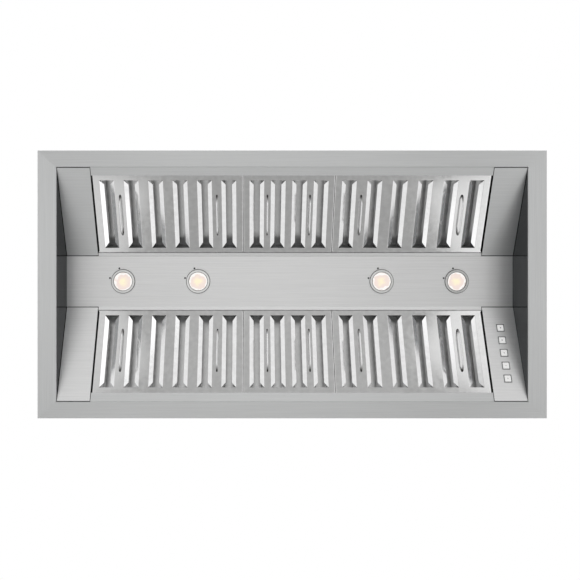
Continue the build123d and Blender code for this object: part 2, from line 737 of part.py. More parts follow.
with BuildPart() as control_board:
    # Circuit board with one push switch behind each button.
    with BuildSketch(CONTROL.offset(BOARD_FACE)):
        with Locations((CONTROL_CENTRE, PANEL_MIDDLE)):
            Rectangle(BOX_INNER, BOX_INNER_LENGTH)
    extrude(amount=BOARD_THICK)
    with BuildSketch(CONTROL.offset(BOARD_FACE)):
        with Locations(*[(CONTROL_CENTRE, along) for along in button_places()]):
            Rectangle(SWITCH, SWITCH)
    extrude(amount=-SWITCH_HEIGHT / 2)
    with BuildSketch(CONTROL.offset(BOARD_FACE)):
        with Locations(*[(CONTROL_CENTRE, along) for along in button_places()]):
            Rectangle(SWITCH_PLUNGER, SWITCH_PLUNGER)
    extrude(amount=-SWITCH_HEIGHT)
save("control_board", control_board)


# ---- blower -------------------------------------------------------------

# The outlet is centred under the chimney, so the axis lies in front of the middle.
AXIS_Y = OUTLET_DEPTH / 2 - SCROLL_ARC_3 - (SCROLL_ARC_2 - SCROLL_ARC_1)
OUTLET_TOP = CANOPY_HEIGHT - SHEET - BLOWER_AXIS


def blower_plane(x):
    """Upright plane across the blower's axis: local X to the rear, local Y up."""
    return Plane(origin=(x, AXIS_Y, rim_z(BLOWER_AXIS)), x_dir=(0, 1, 0), z_dir=(1, 0, 0))


def scroll_outline(inset):
    """Three quarter turns of growing radius, then the upright outlet."""
    start = (0, SCROLL_CUTOFF - inset)
    turn_1 = JernArc(start=start, tangent=(-1, 0), radius=SCROLL_ARC_1 - inset,
                     arc_size=QUARTER_TURN)
    turn_2 = JernArc(start=turn_1 @ 1, tangent=turn_1 % 1,
                     radius=SCROLL_ARC_2 - inset, arc_size=QUARTER_TURN)
    turn_3 = JernArc(start=turn_2 @ 1, tangent=turn_2 % 1,
                     radius=SCROLL_ARC_3 - inset, arc_size=QUARTER_TURN)
    wall = (turn_3 @ 1).X
    tongue = Polyline(turn_3 @ 1, (wall, OUTLET_TOP), (inset, OUTLET_TOP),
                      (inset, SCROLL_CUTOFF - inset))
    if inset:
        Line(tongue @ 1, start)


with BuildPart() as blower_scroll:
    with BuildSketch(blower_plane(-SCROLL_WIDTH / 2)):
        with BuildLine():
            scroll_outline(0)
        make_face()
    extrude(amount=SCROLL_WIDTH)
    with BuildSketch(blower_plane(SCROLL_SHEET - SCROLL_WIDTH / 2)):
        with BuildLine():
            scroll_outline(SCROLL_SHEET)
        make_face()
    extrude(amount=SCROLL_WIDTH - 2 * SCROLL_SHEET, mode=Mode.SUBTRACT)
    outlet_plane = Plane.XY.offset(DECK_Z - SHEET)
    with BuildSketch(outlet_plane):
        Rectangle(SCROLL_WIDTH + 2 * SCROLL_FLANGE, OUTLET_DEPTH + 2 * SCROLL_FLANGE)
    extrude(amount=-SCROLL_SHEET)
    with BuildSketch(outlet_plane):
        Rectangle(SCROLL_WIDTH - 2 * SCROLL_SHEET, OUTLET_DEPTH - 2 * SCROLL_SHEET)
    extrude(amount=-2 * SCROLL_SHEET, mode=Mode.SUBTRACT)
    with BuildSketch(blower_plane(-SCROLL_WIDTH / 2)):
        Circle(INLET / 2)
    extrude(amount=SCROLL_WIDTH, mode=Mode.SUBTRACT)
save("blower_scroll", blower_scroll)

IMPELLER_WIDTH = SCROLL_WIDTH - 2 * SCROLL_SHEET - 2 * IMPELLER_GAP
BLADE_INNER = IMPELLER / 2 - BLADE_REACH

with BuildSketch() as blade:
    # One bent blade, on the positive X side of the axis.
    with BuildLine():
        Polyline(
            (BLADE_INNER + BLADE_SHEET, 0),
            (BLADE_INNER + BLADE_REACH / 2, BLADE_KNEE),
            (IMPELLER / 2 - 2 * BLADE_SHEET, BLADE_CURL),
        )
        offset(amount=BLADE_SHEET, side=Side.LEFT, kind=Kind.INTERSECTION)
    make_face()

with BuildPart() as impeller:
    # Squirrel cage: two end rings, a web in the middle, a hub and bent blades.
    end = IMPELLER_WIDTH / 2
    with BuildSketch(blower_plane(-end), blower_plane(end - BLADE_SHEET)):
        Circle(IMPELLER / 2)
        Circle(BLADE_INNER, mode=Mode.SUBTRACT)
    extrude(amount=BLADE_SHEET)
    with BuildSketch(blower_plane(-WEB / 2)):
        Circle(IMPELLER / 2)
    extrude(amount=WEB)
    with BuildSketch(blower_plane(-WEB / 2)):
        Circle(HUB / 2)
    extrude(amount=HUB_LENGTH)
    with BuildSketch(blower_plane(-end)):
        with PolarLocations(0, BLADE_COUNT):
            add(blade.sketch)
    extrude(amount=IMPELLER_WIDTH)
    with BuildSketch(blower_plane(-WEB / 2)):
        Circle(SHAFT / 2)
    extrude(amount=HUB_LENGTH, mode=Mode.SUBTRACT)
save("impeller", impeller)

MOTOR_FRONT = -WEB / 2 - MOTOR_GAP

with BuildPart() as motor_shaft:
    with BuildSketch(blower_plane(MOTOR_FRONT - SHAFT_IN_MOTOR)):
        Circle(SHAFT / 2)
    extrude(amount=SHAFT_IN_MOTOR - MOTOR_FRONT + HUB_LENGTH)
save("motor_shaft", motor_shaft)

with BuildPart() as motor:
    with BuildSketch(blower_plane(-SCROLL_WIDTH / 2)):
        Circle(MOTOR / 2)
    extrude(amount=SCROLL_WIDTH / 2 + MOTOR_FRONT)
    with BuildSketch(blower_plane(MOTOR_FRONT)):
        Circle(SHAFT / 2 + SHAFT_CLEARANCE)
    extrude(amount=-SHAFT_IN_MOTOR - SHAFT_CLEARANCE, mode=Mode.SUBTRACT)
save("motor", motor)

with BuildPart() as motor_spider:
    # Three arms that carry the motor in the left inlet.
    with BuildSketch(blower_plane(-SCROLL_WIDTH / 2)):
        Circle(SPIDER_HUB / 2)
        with PolarLocations(0, SPIDER_ARM_COUNT, start_angle=QUARTER_TURN):
            Rectangle(INLET / 2 + SPIDER_OVERLAP, SPIDER_ARM,
                      align=(Align.MIN, Align.CENTER))
    extrude(amount=-SPIDER_SHEET)
save("motor_spider", motor_spider)


# ---- outlet collar and damper -------------------------------------------

DECK = Plane.XY.offset(DECK_Z)
ROD_Z = DECK_Z + SHEET + DAMPER_HEIGHT
TUBE_BORE = COLLAR / 2 - SHEET

with BuildPart() as outlet_collar:
    # Base plate on the deck, round tube for the duct, and a ring under the flaps.
    with BuildSketch(DECK):
        Rectangle(COLLAR_BASE, COLLAR_BASE)
        Rectangle(SCROLL_WIDTH - 2 * SCROLL_SHEET, OUTLET_DEPTH - 2 * SCROLL_SHEET,
                  mode=Mode.SUBTRACT)
    extrude(amount=SHEET)
    with BuildSketch(DECK.offset(SHEET)):
        Circle(COLLAR / 2)
        Circle(TUBE_BORE, mode=Mode.SUBTRACT)
    extrude(amount=COLLAR_HEIGHT)
    stop = ROD_Z - DAMPER_SHEET / 2 - BARREL_CLEARANCE
    with BuildSketch(Plane.XY.offset(stop)):
        Circle(TUBE_BORE)
        Circle(TUBE_BORE - DAMPER_STOP, mode=Mode.SUBTRACT)
    extrude(amount=-SHEET)
    with BuildSketch(Plane.XZ.offset(-COLLAR / 2)):
        with Locations((0, ROD_Z)):
            Circle(DAMPER_ROD / 2)
    extrude(amount=COLLAR, mode=Mode.SUBTRACT)
save("outlet_collar", outlet_collar)

with BuildPart() as damper_rod:
    with BuildSketch(Plane.XZ.offset(-COLLAR / 2)):
        with Locations((0, ROD_Z)):
            Circle(DAMPER_ROD / 2)
    extrude(amount=COLLAR)
save("damper_rod", damper_rod)


def damper_flap(name, side):
    """Half-round flap that lifts on the rod; its barrel takes half of the rod."""
    flap_radius = TUBE_BORE - DAMPER_GAP
    barrel = DAMPER_BARREL / 2
    bore = DAMPER_ROD / 2 + BARREL_CLEARANCE
    reach = flap_radius * BARREL_REACH
    start = DAMPER_GAP
    with BuildPart() as flap:
        with BuildSketch(Plane.XY.offset(ROD_Z - DAMPER_SHEET / 2)):
            Circle(flap_radius)
            with Locations((-side * (flap_radius - barrel - BARREL_CLEARANCE), 0)):
                Rectangle(2 * flap_radius, 2 * flap_radius, mode=Mode.SUBTRACT)
            with Locations((side * barrel, side * (start + reach) / 2)):
                Rectangle(barrel, reach - start)
        extrude(amount=DAMPER_SHEET)
        with BuildSketch(Plane.XZ.offset(-side * start)):
            with Locations((0, ROD_Z)):
                Circle(barrel)
        extrude(amount=-side * (reach - start))
        with BuildSketch(Plane.XZ.offset(-side * start)):
            with Locations((0, ROD_Z)):
                Circle(bore)
        extrude(amount=-side * (reach - start), mode=Mode.SUBTRACT)
    save(name, flap)


damper_flap("damper_flap_left", -1)
damper_flap("damper_flap_right", 1)


# ---- chimney and ceiling fixing -----------------------------------------

def chimney_cover(name, half_x, half_y, bottom, length, slots):
    """Square tube of folded sheet; slots open at the top let it slide off screws."""
    with BuildPart() as cover:
        with BuildSketch(Plane.XY.offset(bottom)):
            Rectangle(2 * half_x, 2 * half_y)
            Rectangle(2 * (half_x - CHIMNEY_SHEET), 2 * (half_y - CHIMNEY_SHEET),
                      mode=Mode.SUBTRACT)
        extrude(amount=length)
        if slots:
            with BuildSketch(Plane.YZ.offset(-half_x)):
                with Locations((0, -COVER_SCREW_DROP)):
                    Circle(COVER_SLOT / 2)
                    Rectangle(COVER_SLOT, 2 * COVER_SCREW_DROP,
                              align=(Align.CENTER, Align.MIN))
            extrude(amount=2 * half_x, mode=Mode.SUBTRACT)
    save(name, cover)


chimney_cover("chimney_cover_lower", CHIMNEY_HALF_X, CHIMNEY_HALF_Y,
              DECK_Z, LOWER_COVER, False)
chimney_cover("chimney_cover_upper", UPPER_HALF_X, UPPER_HALF_Y,
              -CEILING_GAP - UPPER_COVER, UPPER_COVER, True)

with BuildPart() as ceiling_plate:
    with BuildSketch():
        Rectangle(2 * FRAME_HALF_X, 2 * FRAME_HALF_Y)
        Rectangle(2 * (FRAME_HALF_X - CEILING_BORDER_ENDS),
                  2 * (FRAME_HALF_Y - CEILING_BORDER_LONG), mode=Mode.SUBTRACT)
        with GridLocations(2 * (FRAME_HALF_X - BOLT_INSET), BOLT_SPACING_Y, 2, 2):
            Circle(BOLT_HOLE / 2, mode=Mode.SUBTRACT)
    extrude(amount=-CEILING_SHEET)
    with BuildSketch(Plane.XY.offset(-CEILING_SHEET)):
        with GridLocations(2 * FRAME_HALF_X - TAB_SHEET, 0, 2, 1):
            Rectangle(TAB_SHEET, TAB_WIDTH)
    extrude(amount=-TAB_DROP)
    with BuildSketch(Plane.YZ.offset(-FRAME_HALF_X)):
        with Locations((0, -COVER_SCREW_DROP)):
            Circle(COVER_SCREW / 2)
    extrude(amount=2 * FRAME_HALF_X, mode=Mode.SUBTRACT)
save("ceiling_plate", ceiling_plate)

with BuildPart() as hanger_legs:
    # Four steel angles with a foot at each end, from ceiling plate to deck.
    leg_length = -CEILING_SHEET - DECK_Z
    hollow = LEG - LEG_SHEET
    with BuildSketch(DECK):
        with GridLocations(2 * FRAME_HALF_X - LEG, 2 * FRAME_HALF_Y - LEG, 2, 2):
            Rectangle(LEG, LEG)
        with GridLocations(2 * (FRAME_HALF_X - LEG_SHEET) - hollow,
                           2 * (FRAME_HALF_Y - LEG_SHEET) - hollow, 2, 2):
            Rectangle(hollow, hollow, mode=Mode.SUBTRACT)
    extrude(amount=leg_length)
    with BuildSketch(DECK, DECK.offset(leg_length - LEG_SHEET)):
        with GridLocations(2 * FRAME_HALF_X - LEG, 2 * FRAME_HALF_Y - LEG, 2, 2):
            Rectangle(LEG, LEG)
    extrude(amount=LEG_SHEET)
save("hanger_legs", hanger_legs)

with BuildPart() as cover_screws:
    # One screw each side, through the upper cover's slot into the ceiling plate.
    for side in (-1, 1):
        face = UPPER_HALF_X + COVER_SCREW_GAP
        with BuildSketch(Plane.YZ.offset(side * face)):
            with Locations((0, -COVER_SCREW_DROP)):
                RegularPolygon(COVER_SCREW_HEAD / 2, NUT_SIDES)
        extrude(amount=side * COVER_SCREW_HEAD_HEIGHT)
        with BuildSketch(Plane.YZ.offset(side * face)):
            with Locations((0, -COVER_SCREW_DROP)):
                Circle(COVER_SCREW / 2)
        extrude(amount=-side * (face - FRAME_HALF_X + 2 * TAB_SHEET))
save("cover_screws", cover_screws)

with BuildPart() as junction_box:
    # Wiring box on the deck beside the collar, with its lid and its cable gland.
    box_start = COLLAR_BASE / 2 + JUNCTION_GAP
    box_end = CHIMNEY_HALF_X - CHIMNEY_SHEET - JUNCTION_AIR
    box_x = (box_start + box_end) / 2
    box_width = box_end - box_start
    with BuildSketch(DECK):
        with Locations((box_x, 0)):
            Rectangle(box_width, JUNCTION_LENGTH)
    extrude(amount=JUNCTION_HEIGHT)
    with BuildSketch(DECK.offset(JUNCTION_HEIGHT)):
        with Locations((box_x, 0)):
            Rectangle(box_width - JUNCTION_LID, JUNCTION_LENGTH - JUNCTION_LID)
    extrude(amount=JUNCTION_LID)
    with BuildSketch(DECK.offset(JUNCTION_HEIGHT + JUNCTION_LID)):
        with Locations((box_x, JUNCTION_LENGTH * GLAND_PLACE)):
            RegularPolygon(GLAND / 2, NUT_SIDES)
    extrude(amount=GLAND_HEIGHT)
    with BuildSketch(DECK.offset(JUNCTION_HEIGHT + JUNCTION_LID + GLAND_HEIGHT)):
        with Locations((box_x, JUNCTION_LENGTH * GLAND_PLACE)):
            Circle(GLAND_BORE / 2)
    extrude(amount=-GLAND_HEIGHT, mode=Mode.SUBTRACT)
save("junction_box", junction_box)
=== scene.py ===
import json
import math

import bmesh
import bpy
from bpy.props import FloatProperty, FloatVectorProperty, IntProperty, PointerProperty
from bpy.types import Operator, Panel, PropertyGroup
from mathutils import Matrix, Vector


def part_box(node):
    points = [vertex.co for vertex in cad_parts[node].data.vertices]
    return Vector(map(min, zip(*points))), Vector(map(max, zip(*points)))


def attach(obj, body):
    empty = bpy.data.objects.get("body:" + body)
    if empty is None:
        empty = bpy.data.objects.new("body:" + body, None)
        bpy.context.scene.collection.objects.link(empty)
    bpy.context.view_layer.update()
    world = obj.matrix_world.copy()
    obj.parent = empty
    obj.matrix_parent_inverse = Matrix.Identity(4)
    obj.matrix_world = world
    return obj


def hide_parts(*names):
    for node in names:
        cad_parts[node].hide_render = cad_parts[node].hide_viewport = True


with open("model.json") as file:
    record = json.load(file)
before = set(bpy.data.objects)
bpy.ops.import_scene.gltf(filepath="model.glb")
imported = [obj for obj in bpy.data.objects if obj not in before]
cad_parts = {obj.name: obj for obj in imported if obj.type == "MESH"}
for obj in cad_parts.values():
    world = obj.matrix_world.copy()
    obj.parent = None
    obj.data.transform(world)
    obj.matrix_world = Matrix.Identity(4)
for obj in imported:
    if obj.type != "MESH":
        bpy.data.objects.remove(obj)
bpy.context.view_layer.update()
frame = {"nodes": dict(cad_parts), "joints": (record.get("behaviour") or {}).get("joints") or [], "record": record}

bl_info = {
    "name": "Island Range Hood",
    "version": (1, 0, 0),
    "blender": (4, 5, 0),
    "location": "View3D > Sidebar > Hood",
    "description": "Sheet metal, baffle filters, lamps, buttons and stage of a "
                   "ceiling-hung range hood",
    "category": "Object",
}

MM = 0.001
NODES = frame["nodes"]
JOINTS = {joint["name"]: joint for joint in frame["joints"]}
LOOKS, TREES = {}, {}           # materials and geometry trees by name, filled by main

# The buttons press straight into the sloped panels, so their joint gives the slope.
PRESS = Vector(JOINTS["button_1_press"]["axis"]).normalized()
SLOPE = math.atan2(-PRESS.y, PRESS.z)
ROW_SIDE = {"rear": 1, "front": -1}
FILTERS = [f"{row}_{place}" for row in ROW_SIDE for place in ("right", "middle", "left")]

# Way of the brushing, a little off each axis so that no face is square to it
BRUSHED = {"x": (1.0, 0.02, 0.01), "y": (0.02, 1.0, 0.01), "z": (0.02, 0.01, 1.0)}

# Soft panels of light: X, Y and drop below the rim, width and depth in metres, and watts
LIGHTS = {
    "low": ((0.1, 0.0, 1.9), 1.5, 1.7, 4.5),
    "left front": ((-1.5, -2.0, 2.0), 0.8, 1.6, 2.2),
    "right front": ((1.2, -2.0, 2.0), 0.8, 1.6, 1.5),
    "rear": ((-0.1, 1.5, 2.0), 1.4, 1.6, 0.5),
    "left rear": ((-1.4, 1.5, 2.0), 0.9, 2.0, 3.0),
    "right rear": ((1.15, 1.5, 2.0), 0.8, 2.0, 1.6),
    "far rear": ((0.0, 3.2, 1.9), 4.0, 1.0, 13.0),
}


# ---- What a user may change ----

def linear(text):
    """An sRGB hex colour as linear red, green and blue."""
    values = [int(text[i:i + 2], 16) / 255 for i in (1, 3, 5)]
    return [v / 12.92 if v <= 0.04045 else ((v + 0.055) / 1.055) ** 2.4 for v in values]


def colour_property(name, text, description):
    return FloatVectorProperty(name=name, description=description, subtype="COLOR",
                               size=3, min=0.0, max=1.0, default=linear(text))


def length_property(name, millimetres, description):
    return FloatProperty(name=name, description=description, unit="LENGTH",
                         min=0.0, default=millimetres * MM)


def angle_property(name, degrees, description):
    return FloatProperty(name=name, description=description, subtype="ANGLE",
                         default=math.radians(degrees))


class HoodFinish(PropertyGroup):
    """Colours of the finishes, and how the sheets' edges are rounded"""
    sheet: colour_property("Sheet", "#D9DADA", "Brushed stainless of canopy and chimney")
    # Painted light: the same brushed sheet as the canopy's, made lighter for the light panel, the front end panel
    # and the control panel, which are more brightly lit
    recess: colour_property("Recess sheet", "#F0F0F0", "Fresh brushed stainless, recess")
    # Painted shade: near-black colour of cut edges and of sheet behind a sheet, which draws the gaps between
    # sheets as shadow lines
    gap_shade: colour_property("Hidden sheet", "#080808", "Cut edges and sheet behind a sheet")
    # Painted shade: both side walls are one satin sheet, given different colours and slant tints for the different
    # shade on each side of the recess
    wall_left: colour_property("Left wall", "#8E8F90", "Satin sheet, left of the recess")
    wall_right: colour_property("Right wall", "#A6A7A8", "Satin sheet, right of the recess")
    slant_shade_left: colour_property("Left wall, slant", "#000000", "Tint at a shallow angle")
    slant_shade_right: colour_property("Right wall, slant", "#6A6A6A", "Tint at a shallow angle")
    filter_face: colour_property("Filters", "#E6E6E6", "Bright sheet of the filters")
    # Partly the duller back of the sheet, partly painted shade that keeps the inside of the filters dim
    filter_back: colour_property("Filter backs", "#7A7B7B", "Dull back of their sheet")
    baffle: colour_property("Baffles", "#F2F2F2", "Bright channels behind the slots")
    wire: colour_property("Wire", "#F6F6F6", "Drawn wire of the handles")
    # Painted shade: dark colour of the handles' feet, for the shaded legs and their reflection in the face
    weld: colour_property("Weld tint", "#3C3B3A", "Ends of the handle wire")
    zinc: colour_property("Zinc", "#A7ACB0", "Galvanised sheet")
    ring: colour_property("Rings", "#DCDCDB", "Bright sheet of the lamp rings")
    # Painted shade: dark bands at a ring's outer edge, as its shadow gap against the panel, and at its inner edge,
    # as a shadow line round the lens
    ring_edge: colour_property("Ring edges", "#3A3A3A", "Dull edges of the lamp rings")
    lens_middle: colour_property("Lens middle", "#FFF4D4", "Warm light in a lens's middle")
    lens_edge: colour_property("Lens edge", "#F3E2DA", "Cooler light towards its edge")
    lens_rim: colour_property("Lens rim", "#FFFDFA", "White light bent by its rim")
    button: colour_property("Buttons", "#F2F2F1", "Moulded button caps")
    bezel: colour_property("Bezels", "#7B7D7E", "Moulded button bezels")
    mark: colour_property("Marks", "#4B4C4D", "Printed button marks")
    edge: length_property("Edge", 0.3, "Rounding of the sheets' edges")
    bend: length_property("Bend", 1.2, "Outside radius of the sheets' bends")
    # Painted shade: width of a dark strip along the recess panels' long edges, drawn as the shadow line of their
    # gaps
    shade_border: length_property("Border", 1.0, "Dull border of the recess's panels")


class HoodFilter(PropertyGroup):
    """Sizes of the baffle filters that their CAD nodes don't give"""
    side_slots: IntProperty(name="Slots, side filter", min=2, default=6,
                            description="Slots in a left or right filter")
    middle_slots: IntProperty(name="Slots, middle filter", min=2, default=4,
                              description="Slots in a middle filter")
    side_margin: length_property("Margin, side filter", 16.0, "Beside the outer slots")
    middle_margin: length_property("Margin, middle filter", 15.0, "Beside the outer slots")
    slot_width: length_property("Slot width", 36.0, "Opening between two folds")
    slot_length: length_property("Slot length", 181.0, "Length of a slot")
    slot_start: length_property("Slot start", 12.9, "From the swing axis to the slots")
    flap: length_property("Flap", 11.6, "Width of a bent flap")
    flap_angle: angle_property("Flap angle", 28.0, "Slope of a flap out of the face")
    flap_mitre: angle_property("Flap mitre", 42.0, "Angle at the ends of a flap")
    fold: length_property("Fold radius", 1.6, "Radius of the folds beside a slot")
    sheet: length_property("Sheet", 0.9, "Thickness of the filter's sheet")
    lip: length_property("Lip", 7.0, "Rear edge of the frame, turned in")
    corner: length_property("Corner radius", 1.8, "Radius of the frame's folds")
    baffle_flat: length_property("Baffle flat", 22.0, "Flat of a rear channel")
    baffle_wing: length_property("Baffle wing", 9.0, "Edge of a rear channel, across")
    baffle_rise: length_property("Baffle rise", 12.5, "Edge of a rear channel, forward")
    baffle_bend: length_property("Baffle bend", 2.0, "Bend radius of a rear channel")
    wire: length_property("Wire", 4.0, "Diameter of the handle wire")
    wire_bend: length_property("Wire bend", 6.0, "Bend radius of the handle wire")
    wire_foot: length_property("Wire foot", 3.0, "Straight end of the wire on the face")
    # Reach along the wire of the painted shade on the handles' feet
    foot_shade_reach: length_property("Wire tint", 7.2, "Reach of the weld's tint along the wire")


class HoodStage(PropertyGroup):
    """Floor, camera and the light from all round"""
    floor: colour_property("Floor", "#DDDDDC", "Plain pale floor")
    floor_drop: length_property("Floor below rim", 2200.0, "Rim's height over the floor")
    floor_width: length_property("Floor width", 3800.0, "Floor from left to right")
    floor_depth: length_property("Floor depth", 7200.0, "Floor from front to rear")
    distance: length_property("Camera distance", 1740.0, "Camera below the rim")
    camera_x: length_property("Camera right", 100.5, "Camera to the right of the middle")
    camera_y: length_property("Camera back", 134.5, "Camera behind the middle")
    lens: FloatProperty(name="Lens", description="Focal length, millimetres", default=45.36)
    shift_x: FloatProperty(name="Shift X", description="Sideways lens shift", default=0.069)
    shift_y: FloatProperty(name="Shift Y", description="Upright lens shift", default=-0.107)
    ambient: FloatProperty(name="Ambient", default=0.55,
                           description="Strength of the world's light")


class HoodSettings(PropertyGroup):
    """Everything on the hood and its stage that can be set"""
    finish: PointerProperty(type=HoodFinish)
    filters: PointerProperty(type=HoodFilter)
    stage: PointerProperty(type=HoodStage)


# ---- Node trees ----

def pick(sockets, key):
    """A socket by its place, or the first one in use that has that name."""
    if isinstance(key, int):
        return sockets[key]
    return next(socket for socket in sockets if socket.enabled and socket.name == key)


def add(tree, kind, inputs=None, **settings):
    """Add one node to a tree, set it up, and fill or link its inputs."""
    made = tree.nodes.new(kind)
    for name, value in settings.items():
        setattr(made, name, value)
    for key, value in (inputs or {}).items():
        if isinstance(value, bpy.types.NodeSocket):
            tree.links.new(value, pick(made.inputs, key))
        else:
            pick(made.inputs, key).default_value = value
    return made


def between(tree, value, low, high, start, end):
    """A colour or number that runs from start to end as a value runs from low to high."""
    share = add(tree, "ShaderNodeMapRange",
                {"Value": value, "From Min": low, "From Max": high}).outputs[0]
    mix = add(tree, "ShaderNodeMix", {"Factor": share, "A": start, "B": end},
              data_type="FLOAT" if isinstance(end, float) else "RGBA")
    return pick(mix.outputs, "Result")


def colour(rgb, factor=1.0):
    """Red, green, blue and alpha, made lighter or darker by a factor."""
    return [min(1.0, part * factor) for part in rgb] + [1.0]


def fineness(millimetres):
    """The scale at which a pattern's patches are this wide."""
    return 1 / (millimetres * MM)


def start_material(name):
    """An empty node material, its tree and its place on the object."""
    material = bpy.data.materials.new(name)
    material.use_nodes = True
    tree = material.node_tree
    tree.nodes.clear()
    return material, tree, add(tree, "ShaderNodeTexCoord").outputs["Object"]


def end_material(material, inputs):
    """The material with a surface that has these inputs."""
    tree = material.node_tree
    shader = add(tree, "ShaderNodeBsdfPrincipled", inputs)
    add(tree, "ShaderNodeOutputMaterial", {"Surface": shader.outputs[0]})
    return material


# ---- Materials ----

def brushed_stainless(name, rgb, painted_shade, grain, roughness=0.5, slant_shade=(1, 1, 1)):
    """Stainless sheet, grade 304 with a number 4 finish, belt-brushed one way.

    The belt's scratches lie along the sheet, so reflections stay fairly sharp
    along them and run out across them. They are 0.1 to 0.3 mm wide, too fine to
    show one by one, so their streaks are drawn 2.4 mm wide and a hand long. Where
    the face attribute "back" is set, on cut edges and on sheet behind a sheet, the
    colour turns to the second, near-black one. This painted shade draws the gaps
    between sheets as shadow lines.
    The tint at a slant is painted shade on the recess's side walls, black on the left one and dark grey on the
    right one, which darkens them where they are seen at a shallow angle; elsewhere it is white and leaves the
    metal's reflection as it is.
    """
    material, tree, place = start_material(name)
    streak, stretch = 2.38, 60.0
    stretched = add(tree, "ShaderNodeMapping", {
        "Vector": place, "Scale": [1.0 if axis == grain else stretch for axis in "xyz"]})
    lines = add(tree, "ShaderNodeTexNoise", {
        "Vector": stretched.outputs[0], "Scale": fineness(streak * stretch),
        "Detail": 3.0, "Roughness": 0.7}).outputs["Fac"]
    clouds = add(tree, "ShaderNodeTexNoise", {
        "Vector": place, "Scale": fineness(333.0), "Detail": 2.0}).outputs["Fac"]
    both = add(tree, "ShaderNodeMath", {0: lines, 1: clouds}, operation="ADD").outputs[0]
    bump = add(tree, "ShaderNodeBump",
               {"Height": lines, "Strength": 0.05, "Distance": 0.4 * MM}).outputs[0]
    facing = add(tree, "ShaderNodeNewGeometry").outputs["Normal"]
    across = add(tree, "ShaderNodeVectorMath", {0: facing, 1: BRUSHED[grain]},
                 operation="CROSS_PRODUCT").outputs[0]
    # Painted shade: where the face attribute "back" is set, the colour turns near-black
    gap_shade = add(tree, "ShaderNodeAttribute", attribute_name="back").outputs["Fac"]
    tone = between(tree, lines, 0.25, 0.75, colour(rgb, 0.94), colour(rgb, 1.05))
    return end_material(material, {
        "Base Color": between(tree, gap_shade, 0.0, 1.0, tone, colour(painted_shade)),
        "Roughness": between(tree, both, 0.6, 1.4, roughness - 0.05, roughness + 0.05),
        "Normal": bump, "Metallic": 1.0, "Anisotropic": 0.8, "Tangent": across,
        "Specular Tint": (*slant_shade, 1.0)})


def bright_stainless(name, rgb, painted_shade, roughness=0.12):
    """Bright-annealed stainless sheet, shiny on its front side.

    It mirrors what is near it, with faint clouds 11 mm wide from the rolls and
    light waviness from the press, 50 mm from crest to crest. The sheet's back and
    its edges take a darker colour, partly the duller back of the sheet and partly
    painted shade, which keeps the inside of a filter dim; on the lamp rings that
    darker colour is painted shade along their edges.
    """
    material, tree, place = start_material(name)
    waves = add(tree, "ShaderNodeTexNoise", {
        "Vector": place, "Scale": fineness(50.0), "Detail": 1.0}).outputs["Fac"]
    clouds = add(tree, "ShaderNodeTexNoise", {
        "Vector": place, "Scale": fineness(11.1), "Detail": 4.0}).outputs["Fac"]
    bump = add(tree, "ShaderNodeBump",
               {"Height": waves, "Strength": 0.12, "Distance": 1.0 * MM}).outputs[0]
    # Where "back" is set, the colour turns to the second, darker one: painted shade, on the filters partly a
    # duller back too
    back = add(tree, "ShaderNodeAttribute", attribute_name="back").outputs["Fac"]
    tone = between(tree, clouds, 0.3, 0.7, colour(rgb, 0.94), colour(rgb, 1.05))
    rough = between(tree, clouds, 0.3, 0.7, roughness - 0.03, roughness + 0.05)
    return end_material(material, {
        "Base Color": between(tree, back, 0.0, 1.0, tone, colour(painted_shade)),
        "Roughness": between(tree, back, 0.0, 1.0, rough, 0.55),
        "Normal": bump, "Metallic": 1.0})


def drawn_wire(name, rgb, painted_shade):
    """Stainless wire, cold-drawn and tumbled to a soft shine, its feet painted dark.

    The feet, the stretch of wire next to the face, take a dark painted shade for the shaded legs and their
    reflection in the face, so a handle ends in two dark spots.
    """
    material, tree, place = start_material(name)
    lines = add(tree, "ShaderNodeTexNoise", {
        "Vector": place, "Scale": fineness(3.33), "Detail": 2.0}).outputs["Fac"]
    back = add(tree, "ShaderNodeAttribute", attribute_name="back").outputs["Fac"]
    tone = between(tree, lines, 0.3, 0.7, colour(rgb, 0.95), colour(rgb, 1.05))
    return end_material(material, {
        "Base Color": between(tree, back, 0.0, 1.0, tone, colour(painted_shade)),
        "Roughness": between(tree, lines, 0.3, 0.7, 0.3, 0.4), "Metallic": 1.0})


def galvanised_sheet(name, rgb):
    """Hot-dip galvanised steel: zinc crystals 8 to 15 mm wide, each its own grey."""
    material, tree, place = start_material(name)
    spangle = add(tree, "ShaderNodeTexVoronoi", {"Vector": place, "Scale": fineness(11.1)})
    grey = add(tree, "ShaderNodeSeparateColor",
               {"Color": spangle.outputs["Color"]}).outputs[0]
    return end_material(material, {
        "Base Color": between(tree, grey, 0.0, 1.0, colour(rgb, 0.86), colour(rgb, 1.12)),
        "Roughness": between(tree, grey, 0.0, 1.0, 0.34, 0.5), "Metallic": 1.0})


def grained(name, rgb, grain, strength, relief, detail, shades, roughness, swing, **more):
    """Any material with a fine even grain; grain and relief are in millimetres."""
    material, tree, place = start_material(name)
    grains = add(tree, "ShaderNodeTexNoise", {
        "Vector": place, "Scale": fineness(grain), "Detail": detail}).outputs["Fac"]
    bump = add(tree, "ShaderNodeBump", {
        "Height": grains, "Strength": strength, "Distance": relief * MM}).outputs[0]
    dark, light = (colour(rgb, shade) for shade in shades)
    return end_material(material, {
        "Base Color": between(tree, grains, 0.3, 0.7, dark, light),
        "Roughness": between(tree, grains, 0.3, 0.7, roughness - swing, roughness + swing),
        "Normal": bump, **more})


def plain_metal(name, rgb, roughness, grit, relief):
    """Cast, pressed, ground or blackened metal.

    The grit that its making leaves, 0.6 to 2 mm wide, dapples its shine.
    """
    return grained(name, rgb, grit, 0.3, relief, 3.0, (0.9, 1.08), roughness, 0.06,
                   Metallic=1.0)


